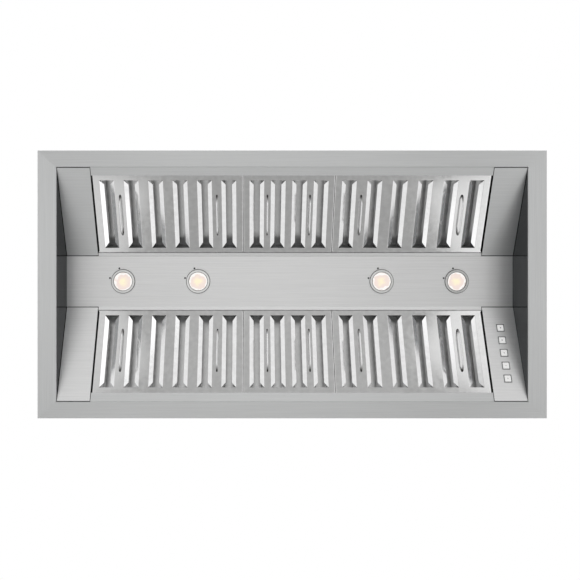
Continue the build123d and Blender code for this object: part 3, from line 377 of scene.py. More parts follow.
def moulded_plastic(name, rgb, roughness, ior=1.5, glow=0.0):
    """Injection-moulded plastic or sprayed enamel: an even colour and a soft sheen.

    Its grain is under a millimetre. A glow, where given, is painted light: the plastic gives off light in its own
    colour.
    """
    return grained(name, rgb, 0.83, 0.15, 0.05, 2.0, (0.97, 1.02), roughness, 0.04,
                   **{"IOR": ior, "Emission Color": colour(rgb), "Emission Strength": glow})


def lit_lens(name, middle, edge, rim):
    """Frosted polycarbonate over a warm LED: warmest in the middle, whitest at its rim.

    The lens's own UV map holds the distance from its centre in U, and the frost's
    patches, 11 mm wide, make the rings of light uneven.
    """
    material, tree, place = start_material(name)
    lens_uv = add(tree, "ShaderNodeUVMap", uv_map="turned").outputs[0]
    share = add(tree, "ShaderNodeSeparateXYZ", {"Vector": lens_uv}).outputs[0]
    frost = add(tree, "ShaderNodeTexNoise", {
        "Vector": place, "Scale": fineness(11.1), "Detail": 3.0}).outputs["Fac"]
    shifted = add(tree, "ShaderNodeMath", {0: frost, 1: 0.8, 2: share},
                  operation="MULTIPLY_ADD").outputs[0]
    glow = between(tree, shifted, 0.5, 0.9, colour(middle), colour(edge))
    glow = between(tree, shifted, 1.05, 1.15, glow, colour(rim))
    glow = between(tree, shifted, 1.25, 1.4, glow, colour(edge, 0.6))
    return end_material(material, {
        "Base Color": colour(edge, 0.06), "Roughness": 0.5, "IOR": 1.3,
        "Emission Color": glow, "Emission Strength": 0.97})


def make_materials(finish):
    """Every finish on the hood, by the name its pieces ask for."""
    gap_shade, back = finish.gap_shade, finish.filter_back
    # What a piece asks for, the function that makes it, its name, and that function's own
    # values: colours, then the brushing's way or the roughness, and what follows it there
    rows = (
        ("sheet_x", brushed_stainless, "Brushed 304 stainless, lengthways",
         finish.sheet, gap_shade, "x"),
        ("sheet_y", brushed_stainless, "Brushed 304 stainless, crossways",
         finish.sheet, gap_shade, "y"),
        ("sheet_z", brushed_stainless, "Brushed 304 stainless, upright",
         finish.sheet, gap_shade, "z"),
        # Painted light: a lighter copy of the brushed sheet for the more brightly lit panels of the recess
        ("recess", brushed_stainless, "Brushed 304 stainless, recess",
         finish.recess, gap_shade, "x"),
        # Painted shade: the two walls differ only in colour and slant tint, for the shade on each side
        ("wall_left", brushed_stainless, "Satin 304 stainless, left wall",
         finish.wall_left, gap_shade, "y", 0.15, finish.slant_shade_left),
        ("wall_right", brushed_stainless, "Satin 304 stainless, right wall",
         finish.wall_right, gap_shade, "y", 0.15, finish.slant_shade_right),
        ("face", bright_stainless, "Bright-annealed stainless, filters",
         finish.filter_face, back),
        ("baffle", bright_stainless, "Bright-annealed stainless, baffles",
         finish.baffle, back, 0.33),
        ("ring", bright_stainless, "Spun bright stainless, lamp rings",
         finish.ring, finish.ring_edge, 0.3),
        ("wire", drawn_wire, "Drawn stainless wire", finish.wire, finish.weld),
        ("zinc", galvanised_sheet, "Galvanised steel sheet", finish.zinc),
        ("lens", lit_lens, "Frosted polycarbonate, lit",
         finish.lens_middle, finish.lens_edge, finish.lens_rim),
        ("spring", plain_metal, "Spring steel, tempered",
         linear("#8C8E90"), 0.35, 1.0, 0.02),
        ("can", plain_metal, "Die-cast aluminium, lamp cans",
         linear("#B4B6B8"), 0.5, 1.2, 0.1),
        ("black_oxide", plain_metal, "Black-oxide steel",
         linear("#2A2A2B"), 0.4, 0.8, 0.02),
        ("plated", plain_metal, "Zinc-plated steel screws",
         linear("#C4C6C8"), 0.28, 0.8, 0.02),
        ("wheel", plain_metal, "Pressed aluminium, fan wheel",
         linear("#B9BBBD"), 0.36, 2.0, 0.03),
        ("shaft", plain_metal, "Ground steel shaft",
         linear("#BDBFC1"), 0.22, 0.6, 0.01),
        # Painted light: the white caps give off a little light of their own, which brightens them
        ("cap", moulded_plastic, "Lit ABS, button caps", finish.button, 0.22, 1.54, 0.28),
        ("bezel", moulded_plastic, "Satin ABS, bezels", finish.bezel, 0.4, 1.54),
        ("mark", moulded_plastic, "Pad-printed ink", finish.mark, 0.5),
        ("box", moulded_plastic, "Black ABS, control box", linear("#1D1E1F"), 0.5, 1.54),
        ("board", moulded_plastic, "Green glass-epoxy laminate",
         linear("#1F6A3C"), 0.4, 1.55),
        ("enamel", moulded_plastic, "Black baked enamel, motor",
         linear("#202122"), 0.45, 1.52))
    return {look: make(name, *values) for look, make, name, *values in rows}


# ---- Geometry node trees ----

def start_tree(name, **kinds):
    """A geometry tree with inputs of these names and kinds, and those inputs' sockets."""
    tree = bpy.data.node_groups.new(name, "GeometryNodeTree")
    for label, kind in kinds.items():
        tree.interface.new_socket(name=label.replace("_", " "), in_out="INPUT",
                                  socket_type="NodeSocket" + kind)
    tree.interface.new_socket(name="Geometry", in_out="OUTPUT",
                              socket_type="NodeSocketGeometry")
    return tree, add(tree, "NodeGroupInput").outputs


def end_tree(tree, given, geometry):
    """Realize the instances, give them their material and pass them on."""
    real = add(tree, "GeometryNodeRealizeInstances", {"Geometry": geometry})
    painted = add(tree, "GeometryNodeSetMaterial",
                  {"Geometry": real.outputs[0], "Material": given["Material"]})
    add(tree, "NodeGroupOutput", {"Geometry": painted.outputs[0]})
    return tree


def row_tree():
    """Copies of a unit side by side, joined where their edges meet."""
    tree, given = start_tree("Row of units", Geometry="Geometry", Count="Int",
                             First="Vector", Pitch="Vector", Weld="Float",
                             Material="Material")
    line = add(tree, "GeometryNodeMeshLine", {
        "Count": given["Count"], "Start Location": given["First"],
        "Offset": given["Pitch"]})
    row = add(tree, "GeometryNodeInstanceOnPoints",
              {"Points": line.outputs[0], "Instance": given["Geometry"]})
    real = add(tree, "GeometryNodeRealizeInstances", {"Geometry": row.outputs[0]})
    welded = add(tree, "GeometryNodeMergeByDistance",
                 {"Geometry": real.outputs[0], "Distance": given["Weld"]})
    return end_tree(tree, given, welded.outputs[0])


def places_tree():
    """One copy of a piece at each point of a mesh."""
    tree, given = start_tree("Piece at each place", Geometry="Geometry", Piece="Object",
                             Material="Material")
    unit = add(tree, "GeometryNodeObjectInfo", {"Object": given["Piece"]})
    copies = add(tree, "GeometryNodeInstanceOnPoints", {
        "Points": given["Geometry"], "Instance": unit.outputs["Geometry"]})
    return end_tree(tree, given, copies.outputs[0])


def wire_tree():
    """Round wire along a bent line, its corners rounded and its ends closed."""
    tree, given = start_tree("Bent wire", Geometry="Geometry", Diameter="Float",
                             Bend_Radius="Float", Material="Material")
    bent = add(tree, "GeometryNodeFilletCurve", {
        "Curve": given["Geometry"], "Radius": given["Bend Radius"],
        "Limit Radius": True, "Count": 6}, mode="POLY")
    radius = add(tree, "ShaderNodeMath", {0: given["Diameter"], 1: 0.5},
                 operation="MULTIPLY")
    section = add(tree, "GeometryNodeCurvePrimitiveCircle",
                  {"Resolution": 16, "Radius": radius.outputs[0]})
    tube = add(tree, "GeometryNodeCurveToMesh", {
        "Curve": bent.outputs[0], "Profile Curve": section.outputs[0], "Fill Caps": True})
    return end_tree(tree, given, tube.outputs[0])


# ---- Making and placing pieces ----

def placed(name, data):
    """A new object in the scene."""
    made = bpy.data.objects.new(name, data)
    bpy.context.scene.collection.objects.link(made)
    return made


def plain_mesh(holder):
    """The mesh that an object's modifiers make of it; the object itself goes."""
    depsgraph = bpy.context.evaluated_depsgraph_get()
    made = bpy.data.meshes.new_from_object(holder.evaluated_get(depsgraph))
    bpy.data.objects.remove(holder)
    return made


def run_tree(name, data, tree, **values):
    """The plain mesh that a geometry tree makes of some data with these inputs."""
    holder = placed(name, data)
    modifier = holder.modifiers.new(tree, "NODES")
    modifier.node_group = TREES[tree]
    for socket in TREES[tree].interface.items_tree:
        key = socket.name.replace(" ", "_")
        if socket.in_out == "INPUT" and key in values:
            modifier[socket.identifier] = values[key]
    return plain_mesh(holder)


def evenly_shaded(mesh, smooth):
    """The mesh shaded smoothly across its roundings, its wide faces kept flat."""
    mesh.shade_smooth()
    mesh.set_sharp_from_angle(angle=math.radians(smooth))
    holder = placed("shading", mesh)
    normals = holder.modifiers.new("Normals", "WEIGHTED_NORMAL")
    normals.weight = 100
    normals.keep_sharp = True
    return plain_mesh(holder)


def piece(name, mesh, look, node, replaced=True, smooth=35):
    """Put a finished mesh into the scene, on a CAD node's body and in its place."""
    record = frame["record"]
    body = next(body for body, members in record["behaviour"]["bodies"].items()
                if node in members)
    if smooth:
        mesh = evenly_shaded(mesh, smooth)
    mesh.materials.clear()
    mesh.materials.append(LOOKS[look])
    made = placed(name, mesh)
    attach(made, body)
    if replaced:
        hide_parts(node)


def dress(look, *names):
    """Give CAD nodes that are shown as they are their material."""
    for name in names:
        NODES[name].data.materials.clear()
        NODES[name].data.materials.append(LOOKS[look])


def merged(node):
    """A CAD node's mesh with its loose triangles joined into whole faces."""
    work = bmesh.new()
    work.from_mesh(NODES[node].data)
    bmesh.ops.remove_doubles(work, verts=work.verts, dist=0.01 * MM)
    bmesh.ops.dissolve_limit(work, angle_limit=math.radians(1), verts=work.verts,
                             edges=work.edges)
    return work


def to_mesh(work, name, outwards=True):
    """Close a bmesh and hand over its mesh."""
    if outwards:
        bmesh.ops.recalc_face_normals(work, faces=work.faces)
    mesh = bpy.data.meshes.new(name)
    work.to_mesh(mesh)
    work.free()
    return mesh


def ring_faces(work, first, second):
    """Faces between two closed loops of as many points."""
    for i in range(len(first)):
        j = (i + 1) % len(first)
        work.faces.new((first[i], first[j], second[j], second[i]))


def middle(points):
    """Centre of the box round some points."""
    return (Vector(map(min, *points)) + Vector(map(max, *points))) / 2


def arc(centre, radius, start, end, steps):
    """Points of an arc in a plane, from one angle to another in degrees."""
    turns = [math.radians(start + (end - start) * i / steps) for i in range(steps + 1)]
    return [(centre[0] + radius * math.cos(turn), centre[1] + radius * math.sin(turn))
            for turn in turns]


# ---- Copies of CAD nodes with softened edges ----

def sharp_edges(work, degrees, but=()):
    """Edges between two faces that meet at more than an angle."""
    return [edge for edge in work.edges
            if edge not in but and len(edge.link_faces) == 2
            and edge.calc_face_angle() > math.radians(degrees)]


def rounded(work, edges, radius, segments):
    """Round edges; what the rounding made comes back."""
    return bmesh.ops.bevel(work, geom=edges, offset=radius, segments=segments,
                           profile=0.5, affect="EDGES", clamp_overlap=True)


def cut(work, point, way):
    """Cut a mesh's faces along a plane, taking nothing away."""
    bmesh.ops.bisect_plane(work, geom=work.verts[:] + work.edges[:] + work.faces[:],
                           plane_co=point, plane_no=way)


def border_planes(face, width):
    """Planes inside a face's long sharp edges, each as a point and the way inwards."""
    centre = face.calc_center_median()
    planes = []
    for edge in face.edges:
        if edge.calc_face_angle(0) < math.radians(20) or edge.calc_length() <= 40 * width:
            continue
        start, end = (vert.co for vert in edge.verts)
        inwards = face.normal.cross(end - start).normalized()
        if inwards.dot(centre - start) < 0:
            inwards.negate()
        planes.append(((start + end) / 2 + inwards * width, inwards))
    return planes


def softened(node, radius, look, bend=None, covered=None, edge_shade=0.0, shade_border=None):
    """Stand a copy of a CAD node with rounded edges in its place.

    Outer edges between two wide faces are bends of the sheet and get the bend's
    radius; the sheet's own edges get the smaller one. The face attribute "back"
    tells how much painted shade a face takes: cut edges, what stands up from the
    widest face and a border round that face as given, and fully what lies further
    sideways than the covered distance, apart from level faces. This painted shade
    draws the gaps round the panels as dark shadow lines.
    """
    work = merged(node)
    back = work.faces.layers.float.new("back")
    sharp = sharp_edges(work, 20)
    widest = max(work.faces, key=lambda face: face.calc_area())
    facing = widest.normal.copy()
    rims = border_planes(widest, shade_border) if shade_border else []
    bends = [edge for edge in sharp if bend and edge.is_convex and all(
        face.calc_area() / edge.calc_length() > 4 * bend for face in edge.link_faces)]
    if bends:
        sharp = sharp_edges(work, 40, but=set(rounded(work, bends, bend, 4)["edges"]))
    for face in rounded(work, sharp, radius, 2)["faces"]:
        face[back] = edge_shade
    for point, inwards in rims:
        cut(work, point, inwards)
    for face in work.faces if rims else ():
        centre, turn = face.calc_center_median(), abs(face.normal.dot(facing))
        standing, lying = turn < 0.3, turn > 0.98
        outside = any((centre - point).dot(inwards) < 0 for point, inwards in rims)
        if standing or lying and outside:
            face[back] = edge_shade
    # Painted shade: sheet under the end panels turns fully dark, so that their gap shows as a shadow line
    if covered:
        for hand in (-1, 1):
            cut(work, (hand * covered, 0, 0), (1, 0, 0))
        for face in work.faces:
            level = abs(face.normal.z) > 0.97
            if abs(face.calc_center_median().x) > covered and not level:
                face[back] = 1.0
    piece("finished_" + node, to_mesh(work, node), look, node)


class HOOD_OT_canopy(Operator):
    """Bands and roof of the canopy, with softened edges and a brushed finish"""
    bl_idname = "hood.canopy"
    bl_label = "Canopy"

    def execute(self, context):
        finish = context.scene.hood.finish
        for side, grain in (("front", "x"), ("rear", "x"), ("left", "y"), ("right", "y")):
            softened("canopy_band_" + side, finish.edge, "sheet_" + grain, finish.bend)
        softened("canopy_roof", finish.edge, "sheet_x")
        return {"FINISHED"}


class HOOD_OT_recess(Operator):
    """Side walls, ledges, light panel and sloped end panels of the recess"""
    bl_idname = "hood.recess"
    bl_label = "Recess"

    def execute(self, context):
        finish = context.scene.hood.finish
        for side in ("left", "right"):
            softened("side_wall_" + side, finish.edge, "wall_" + side)
        # Painted shade: ledges and light panel turn dark where the end panels cover them, and the panels' cut
        # edges, flanges and borders darken, drawing the gaps as shadow lines
        covered = min(abs(corner.x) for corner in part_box("end_panel_rear_left"))
        for row in ROW_SIDE:
            softened("ledge_" + row, finish.edge, "sheet_x", finish.bend, covered)
        softened("light_panel", 2 * finish.edge, "recess", covered=covered,
                 edge_shade=0.5, shade_border=finish.shade_border)
        # Painted light: the front end panel and the control panel take the lighter copy of the sheet, the rear end
        # panels the plain one
        for panel, look in (("end_panel_rear_left", "sheet_x"),
                            ("end_panel_rear_right", "sheet_x"),
                            ("end_panel_front_right", "recess"),
                            ("control_panel", "recess")):
            softened(panel, 2 * finish.edge, look, edge_shade=1.0, shade_border=finish.shade_border)
        return {"FINISHED"}


# ---- Baffle filters ----

class FilterSpace:
    """Where one filter lies: across its row, up the slope and behind its face."""

    def __init__(self, which, settings):
        row, place = which.split("_")
        side = ROW_SIDE[row]
        sine, cosine = math.sin(SLOPE), math.cos(SLOPE)
        across = Vector((-side, 0, 0))
        up_slope = Vector((0, -side * cosine, sine))
        behind = Vector((0, side * sine, cosine))
        self.matrix = Matrix((across, up_slope, behind)).transposed().to_4x4()
        self.matrix.translation = JOINTS[f"filter_{which}_swing"]["pos_m"]
        inverse = self.matrix.inverted()
        tray = [inverse @ vert.co for vert in NODES["filter_tray_" + which].data.vertices]
        low, high = Vector(map(min, *tray)), Vector(map(max, *tray))
        frame_end = max(point.y for point in tray if point.z > (low.z + high.z) / 2)
        self.width = high.x - low.x
        self.depth = high.z - low.z
        self.start = low.y
        self.length = frame_end - low.y
        self.nose = high.y - frame_end
        self.matrix @= Matrix.Translation(((low.x + high.x) / 2, 0, low.z))
        wide = place != "middle"
        self.slots = settings.side_slots if wide else settings.middle_slots
        margin = settings.side_margin if wide else settings.middle_margin
        self.pitch = (self.width - 2 * margin - settings.slot_width) / (self.slots - 1)

    def row(self, name, unit, look, weld):
        """The unit repeated across the filter, once for each slot."""
        return run_tree(name, unit, "row", Count=self.slots, Weld=weld,
                        First=(-self.pitch * (self.slots - 1) / 2, 0.0, 0.0),
                        Pitch=(self.pitch, 0.0, 0.0), Material=LOOKS[look])


def slot_unit(space, settings):
    """One pitch of a filter's face: ribs, slot, rounded folds and mitred flaps."""
    work = bmesh.new()
    half, edge = space.pitch / 2, settings.slot_width / 2
    start, stop = settings.slot_start, settings.slot_start + settings.slot_length
    rows = [space.start + settings.corner, start, stop, space.start + space.length]
    grid = [[work.verts.new((x, y, 0)) for x in (-half, -edge, edge, half)] for y in rows]
    for r, (below, above) in enumerate(zip(grid, grid[1:])):
        for c in range(3):
            if (r, c) != (1, 1):
                work.faces.new((below[c], below[c + 1], above[c + 1], above[c]))
    # The section runs round the fold and down the flap: inwards, rise, length so far.
    bend, fold, flap = settings.flap_angle, settings.fold, settings.flap
    section = [(fold * math.sin(bend * i / 4), fold * (1 - math.cos(bend * i / 4)),
                fold * bend * i / 4) for i in range(1, 5)]
    flat = flap - fold * bend
    section.append((section[-1][0] + flat * math.cos(bend),
                    section[-1][1] + flat * math.sin(bend), flap))
    for hand in (-1, 1):
        column = 1 if hand < 0 else 2
        ends = [(grid[1][column], grid[2][column])]
        for inwards, rise, run in section:
            mitre = run / math.tan(settings.flap_mitre)
            x = hand * (edge - inwards)
            ends.append((work.verts.new((x, start + mitre, rise)),
                         work.verts.new((x, stop - mitre, rise))))
        for (a, b), (c, d) in zip(ends, ends[1:]):
            work.faces.new((a, b, d, c))
    return to_mesh(work, "slot_unit", outwards=False)


def tray_sheet(space, settings, units):
    """The filter's whole outer skin: its slotted face and the frame folded round it."""
    work = bmesh.new()
    work.from_mesh(units)
    corner, edge = settings.corner, settings.slot_width / 2
    left, right = -space.width / 2, space.width / 2
    low, high = space.start, space.start + space.length
    slot_rows = [settings.slot_start, settings.slot_start + settings.slot_length]
    row_half = space.pitch * space.slots / 2
    # Plain face between the outer units and the frame
    rows = [low + corner] + slot_rows + [high]
    for inner, outer in ((-row_half, left + corner), (row_half, right - corner)):
        for bottom, top in zip(rows, rows[1:]):
            work.faces.new([work.verts.new((x, y, 0)) for x, y in
                            ((inner, bottom), (outer, bottom), (outer, top), (inner, top))])
    # The frame's points across, which match the face's
    across = [left + corner, -row_half]
    for slot in range(space.slots):
        centre = space.pitch * (slot - (space.slots - 1) / 2)
        across += [centre - edge, centre + edge, centre + space.pitch / 2]
    across = sorted(set(round(x, 6) for x in across + [right - corner]))
    # Its profile from the face: inset and height, round both folds to the turned-in lip
    flange = space.depth - corner
    profile = arc((corner, corner), corner, -90, -180, 4)
    profile += arc((corner, flange), corner, 180, 90, 4)
    profile.append((settings.lip, space.depth))
    loops = []
    for inset, height in profile:
        end = high if height < flange else high - inset
        xs = [left + inset] + across[1:-1] + [right - inset]
        xs = [min(max(x, left + inset), right - inset) for x in xs]
        ys = [low + inset] + slot_rows + [end]
        outline = [(x, ys[0]) for x in xs] + [(xs[-1], y) for y in ys[1:]]
        outline += [(x, ys[-1]) for x in reversed(xs[:-1])]
        outline += [(xs[0], y) for y in reversed(ys[1:-1])]
        loops.append([work.verts.new((x, y, height)) for x, y in outline])
    for first, second in zip(loops, loops[1:]):
        ring_faces(work, first, second)
    bmesh.ops.remove_doubles(work, verts=work.verts, dist=0.02 * MM)
    bmesh.ops.recalc_face_normals(work, faces=work.faces)
    front = next(face for face in work.faces
                 if abs(face.calc_center_median().z) < 0.01 * MM)
    if front.normal.z > 0:
        bmesh.ops.reverse_faces(work, faces=work.faces)
    return to_mesh(work, "tray_sheet", outwards=False)


def thickened(mesh, thickness, shown=0):
    """The sheet given its thickness, on the side that its normals turn away from.

    The face attribute "back" is 1 on the side that is not shown, which takes a
    darker colour, partly a duller back and partly painted shade. The shown side is
    0 for the side that the mesh had before and 1 for the one it gained.
    """
    mesh.polygons.foreach_set("material_index", [0] * len(mesh.polygons))
    mesh.materials.clear()
    # Two empty material slots, so that the modifier can mark the side it makes
    mesh.materials.append(None)
    mesh.materials.append(None)
    holder = placed("sheet", mesh)
    wall = holder.modifiers.new("Sheet", "SOLIDIFY")
    wall.thickness = thickness
    wall.offset = -1
    wall.use_even_offset = True
    wall.material_offset = 1
    made = plain_mesh(holder)
    sides = [face.material_index for face in made.polygons]
    back = made.attributes.new("back", "FLOAT", "FACE")
    back.data.foreach_set("value", [float(side != shown) for side in sides])
    made.polygons.foreach_set("material_index", [0] * len(sides))
    return made


def block(work, centre, size, turn=0.0):
    """Add a block of some size at a centre, both turned about Z."""
    bmesh.ops.create_cube(work, size=1.0, matrix=Matrix.Rotation(turn, 4, "Z")
                          @ Matrix.Translation(centre) @ Matrix.Diagonal((*size, 1)))


def with_nose(mesh, space, settings):
    """The skin with the strip of the face that runs on past the frame's inner end."""
    nose, end = bmesh.new(), space.start + space.length
    block(nose, (0, end + space.nose / 2, settings.sheet / 2),
          (space.width, space.nose, settings.sheet))
    free = [edge for edge in nose.edges if min(vert.co.y for vert in edge.verts) > end]
    rounded(nose, free, settings.sheet / 3, 2)
    both = bmesh.new()
    both.from_mesh(mesh)
    both.from_mesh(to_mesh(nose, "nose"))
    return to_mesh(both, "face_and_nose", outwards=False)


class HOOD_OT_filters(Operator):
    """Slotted faces and folded frames of the baffle filters"""
    bl_idname = "hood.filters"
    bl_label = "Filter faces"

    def execute(self, context):
        settings = context.scene.hood.filters
        for which in FILTERS:
            space = FilterSpace(which, settings)
            units = space.row("slots", slot_unit(space, settings), "face", 0.02 * MM)
            mesh = thickened(tray_sheet(space, settings, units), settings.sheet)
            if space.nose > 0.5 * MM:
                mesh = with_nose(mesh, space, settings)
            mesh.transform(space.matrix)
            piece("filter_face_" + which, mesh, "face", "filter_tray_" + which)
        return {"FINISHED"}


def channel_unit(space, settings):
    """One rear channel: a flat back and two wings bent forward, corners rounded."""
    half, wing, bend = settings.baffle_flat / 2, settings.baffle_wing, settings.baffle_bend
    rise, back = settings.baffle_rise, space.depth - settings.sheet
    turn = math.atan2(rise, wing)
    shoulder = (half - bend * math.tan(turn / 2), back - bend)
    right = [(half + wing, back - rise)]
    right += arc(shoulder, bend, 90 - math.degrees(turn), 90, 3)
    section = [(-x, z) for x, z in right] + right[::-1]
    work = bmesh.new()
    low = space.start + settings.sheet
    high = space.start + space.length - settings.sheet
    ends = [(work.verts.new((x, low, z)), work.verts.new((x, high, z))) for x, z in section]
    for (a, b), (c, d) in zip(ends, ends[1:]):
        work.faces.new((a, b, d, c))
    bmesh.ops.recalc_face_normals(work, faces=work.faces)
    flat = max(work.faces, key=lambda face: face.calc_center_median().z)
    if flat.normal.z < 0:
        bmesh.ops.reverse_faces(work, faces=work.faces)
    return to_mesh(work, "channel_unit", outwards=False)


class HOOD_OT_baffles(Operator):
    """Rear channels of the filters, one behind each slot"""
    bl_idname = "hood.baffles"
    bl_label = "Filter baffles"

    def execute(self, context):
        settings = context.scene.hood.filters
        for which in FILTERS:
            space = FilterSpace(which, settings)
            unit = thickened(channel_unit(space, settings), settings.sheet, shown=1)
            mesh = space.row("channels", unit, "baffle", 0.0)
            mesh.transform(space.matrix)
            piece("filter_channels_" + which, mesh, "baffle", "filter_baffles_" + which)
        dress("spring", "filter_catches")
        return {"FINISHED"}


def islands(node):
    """The separate solids of a CAD node, each as a list of its points."""
    work = merged(node)
    left = set(work.verts)
    found = []
    while left:
        group, reached = set(), [next(iter(left))]
        while reached:
            vert = reached.pop()
            if vert not in group:
                group.add(vert)
                reached += [edge.other_vert(vert) for edge in vert.link_edges]
        left -= group
        found.append([vert.co.copy() for vert in group])
    work.free()
    return sorted(found, key=lambda points: tuple(middle(points)))


class HOOD_OT_handles(Operator):
    """Bent wire handles, two on each filter"""
    bl_idname = "hood.handles"
    bl_label = "Filter handles"

    def execute(self, context):
        settings = context.scene.hood.filters
        for which in FILTERS:
            space = FilterSpace(which, settings)
            inverse = space.matrix.inverted()
            lines = bpy.data.curves.new("handle_lines", "CURVE")
            lines.dimensions = "3D"
            for points in islands("filter_handles_" + which):
                local = [inverse @ point for point in points]
                route = self.route(local, settings.wire / 2, settings.wire_foot)
                spline = lines.splines.new("POLY")
                spline.points.add(len(route) - 1)
                for point, (y, z) in zip(spline.points, route):
                    point.co = (middle(local).x, y, z, 1)
            mesh = run_tree("handles", lines, "wire", Diameter=settings.wire,
                            Bend_Radius=settings.wire_bend, Material=LOOKS["wire"])
            # Painted shade: points of the wire near the face take the dark foot colour
            back = mesh.attributes.new("back", "FLOAT", "POINT")
            back.data.foreach_set("value", [float(vert.co.z > -settings.foot_shade_reach)
                                            for vert in mesh.vertices])
            mesh.transform(space.matrix)
            piece("filter_wires_" + which, mesh, "wire", "filter_handles_" + which,
                  smooth=50)
        return {"FINISHED"}

    def route(self, points, radius, foot):
        """The middle line of a handle's wire: up from a foot, along and down again."""
        low = min(point.y for point in points) + radius
        high = max(point.y for point in points) - radius
        reach = min(point.z for point in points) + radius
        grip = [point.y for point in points if point.z < reach]
        return [(low, 0), (low, -foot), (min(grip), reach), (max(grip), reach),
                (high, -foot), (high, 0)]


# ---- Lamps ----

def front_centre(points, direction):
    """Middle of the face that some points turn towards a direction."""
    reach = max(point.dot(direction) for point in points)
    face = [point for point in points if reach - point.dot(direction) < 0.05 * MM]
    return sum(face, Vector()) / len(face)


def turned(outline, segments, painted_shade=()):
    """A closed outline of (radius, height) points turned about Z.

    Its UV map "turned" holds the share of the widest radius in U. The face
    attribute "back" is 1, for painted shade, between each pair of radii given last.
    """
    work = bmesh.new()
    widest = max(radius for radius, height in outline)
    loops = []
    for radius, height in outline:
        ring = arc((0, 0), radius, 0, 360, segments)[:-1] if radius > 1e-6 else [(0, 0)]
        loops.append([work.verts.new((x, y, height)) for x, y in ring])
    for first, second in zip(loops, loops[1:] + loops[:1]):
        for step in range(segments):
            after = (step + 1) % segments
            corners = [first[step % len(first)], first[after % len(first)],
                       second[after % len(second)], second[step % len(second)]]
            unique = list(dict.fromkeys(corners))
            if len(unique) > 2:
                work.faces.new(unique)
    layer = work.loops.layers.uv.new("turned")
    back = work.faces.layers.float.new("back")
    for face in work.faces:
        out = face.calc_center_median().xy.length
        face[back] = float(any(low < out < high for low, high in painted_shade))
        for loop in face.loops:
            loop[layer].uv = (loop.vert.co.xy.length / widest, 0.5)
    return to_mesh(work, "turned")


def copied(name, unit, places, look, node):
    """Stand copies of a unit mesh at these places instead of a CAD node."""
    points = bpy.data.meshes.new(name + "_places")
    points.from_pydata([tuple(place) for place in places], [], [])
    holder = placed(name + "_unit", unit)
    mesh = run_tree(name + "_copies", points, "places", Piece=holder,
                    Material=LOOKS[look])
    bpy.data.objects.remove(holder)
    piece(name, mesh, look, node)


class HOOD_OT_lamps(Operator):
    """Lamp rings, lit lenses, cans and their small screws"""
    bl_idname = "hood.lamps"
    bl_label = "Lamps"

    def execute(self, context):
        rings, screws = islands("lamp_rings"), islands("lamp_screws")
        low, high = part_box("lamp_rings")
        lens_low, lens_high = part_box("lamp_lenses")
        places = [middle(points) for points in rings]
        hole = min((point - places[0]).xy.length for point in rings[0])
        copied("turned_rings",
               self.ring((high.y - low.y) / 2, hole, high.z - low.z, lens_low.z - low.z),
               [(place.x, place.y, low.z) for place in places], "ring", "lamp_rings")
        copied("turned_lenses",
               self.lens((lens_high.y - lens_low.y) / 2, lens_high.z - lens_low.z),
               [(place.x, place.y, lens_low.z) for place in places], "lens", "lamp_lenses")
        softened("lamp_cups", 1.0 * MM, "can")
        heads = [front_centre(points, Vector((0, 0, -1))) for points in screws]
        copied("turned_lamp_screws",
               self.screw(max((point - heads[0]).xy.length for point in screws[0]),
                          max(point.z for point in screws[0]) - heads[0].z),
               heads, "black_oxide", "lamp_screws")
        return {"FINISHED"}

    def ring(self, outer, inner, lip, seat):
        """A flat ring, both edges rounded, with an upright lip and a seat for the lens."""
        outer_edge, inner_edge, step = 1.8 * MM, 1.2 * MM, 1.5 * MM
        outline = [(outer, lip)]
        outline += arc((outer - outer_edge, outer_edge), outer_edge, 0, -90, 5)
        outline += arc((inner + inner_edge, inner_edge), inner_edge, -90, -180, 4)
        outline += [(inner, seat), (inner + step, seat), (inner + step, lip)]
        # Painted shade: a dark band at the outer edge for the shadow gap against the panel, one at the inner edge
        # for the shadow line round the lens
        return turned(outline, 64, [(outer - 0.8 * outer_edge, outer),
                                    (inner - inner_edge, inner + inner_edge)])

    def lens(self, radius, thickness):
        """A lens that bulges down in the middle."""
        bulge, steps = 0.5 * MM, 8
        outline = [(radius * i / steps, bulge * (i / steps) ** 2) for i in range(steps + 1)]
        return turned(outline + [(radius, thickness), (0, thickness)], 64)

    def screw(self, radius, depth):
        """A pan-head screw with a round socket, its head downwards."""
        head, edge, floor = 1.0 * MM, 0.6 * MM, 0.55 * MM
        shank, socket, mouth = 0.6 * radius, 0.35 * radius, 0.4 * radius
        outline = [(0, floor), (socket, floor), (mouth, 0.04 * MM)]
        outline += arc((radius - edge, edge), edge, -90, 0, 4)
        outline += [(radius, head), (shank, head), (shank, depth), (0, depth)]
        return turned(outline, 24)


# ---- Push buttons ----

def rounded_square(size, radius, steps=4):
    """Corner points of a square with rounded corners, turning anticlockwise."""
    reach = size / 2 - radius
    points = []
    for quarter, (x, y) in enumerate(((1, 1), (-1, 1), (-1, -1), (1, -1))):
        start = 90 * quarter
        points += arc((x * reach, y * reach), radius, start, start + 90, steps)
    return points


def stacked(sections, hole=False):
    """A solid through rounded squares, each a side, a corner radius and a height.

    With a hole, the last square joins the first, so that they run back inside.
    """
    work = bmesh.new()
    loops = [[work.verts.new((x, y, z)) for x, y in rounded_square(side, corner)]
             for side, corner, z in sections]
    for first, second in zip(loops, loops[1:]):
        ring_faces(work, first, second)
    if hole:
        ring_faces(work, loops[-1], loops[0])
    else:
        work.faces.new(loops[0])
        work.faces.new(loops[-1])
    return to_mesh(work, "stacked")


def printed_ring(work, radius, stroke, start, end, top, steps=20):
    """A printed ring, or part of one, from one angle to another in degrees."""
    outer = arc((0, 0), radius, start, end, steps)
    inner = arc((0, 0), radius - stroke, start, end, steps)
    loops = [[work.verts.new(point) for point in ((*a, 0), (*b, 0), (*b, top), (*a, top))]
             for a, b in zip(outer, inner)]
    for first, second in zip(loops, loops[1:]):
        ring_faces(work, first, second)
    work.faces.new(loops[0])
    work.faces.new(loops[-1])


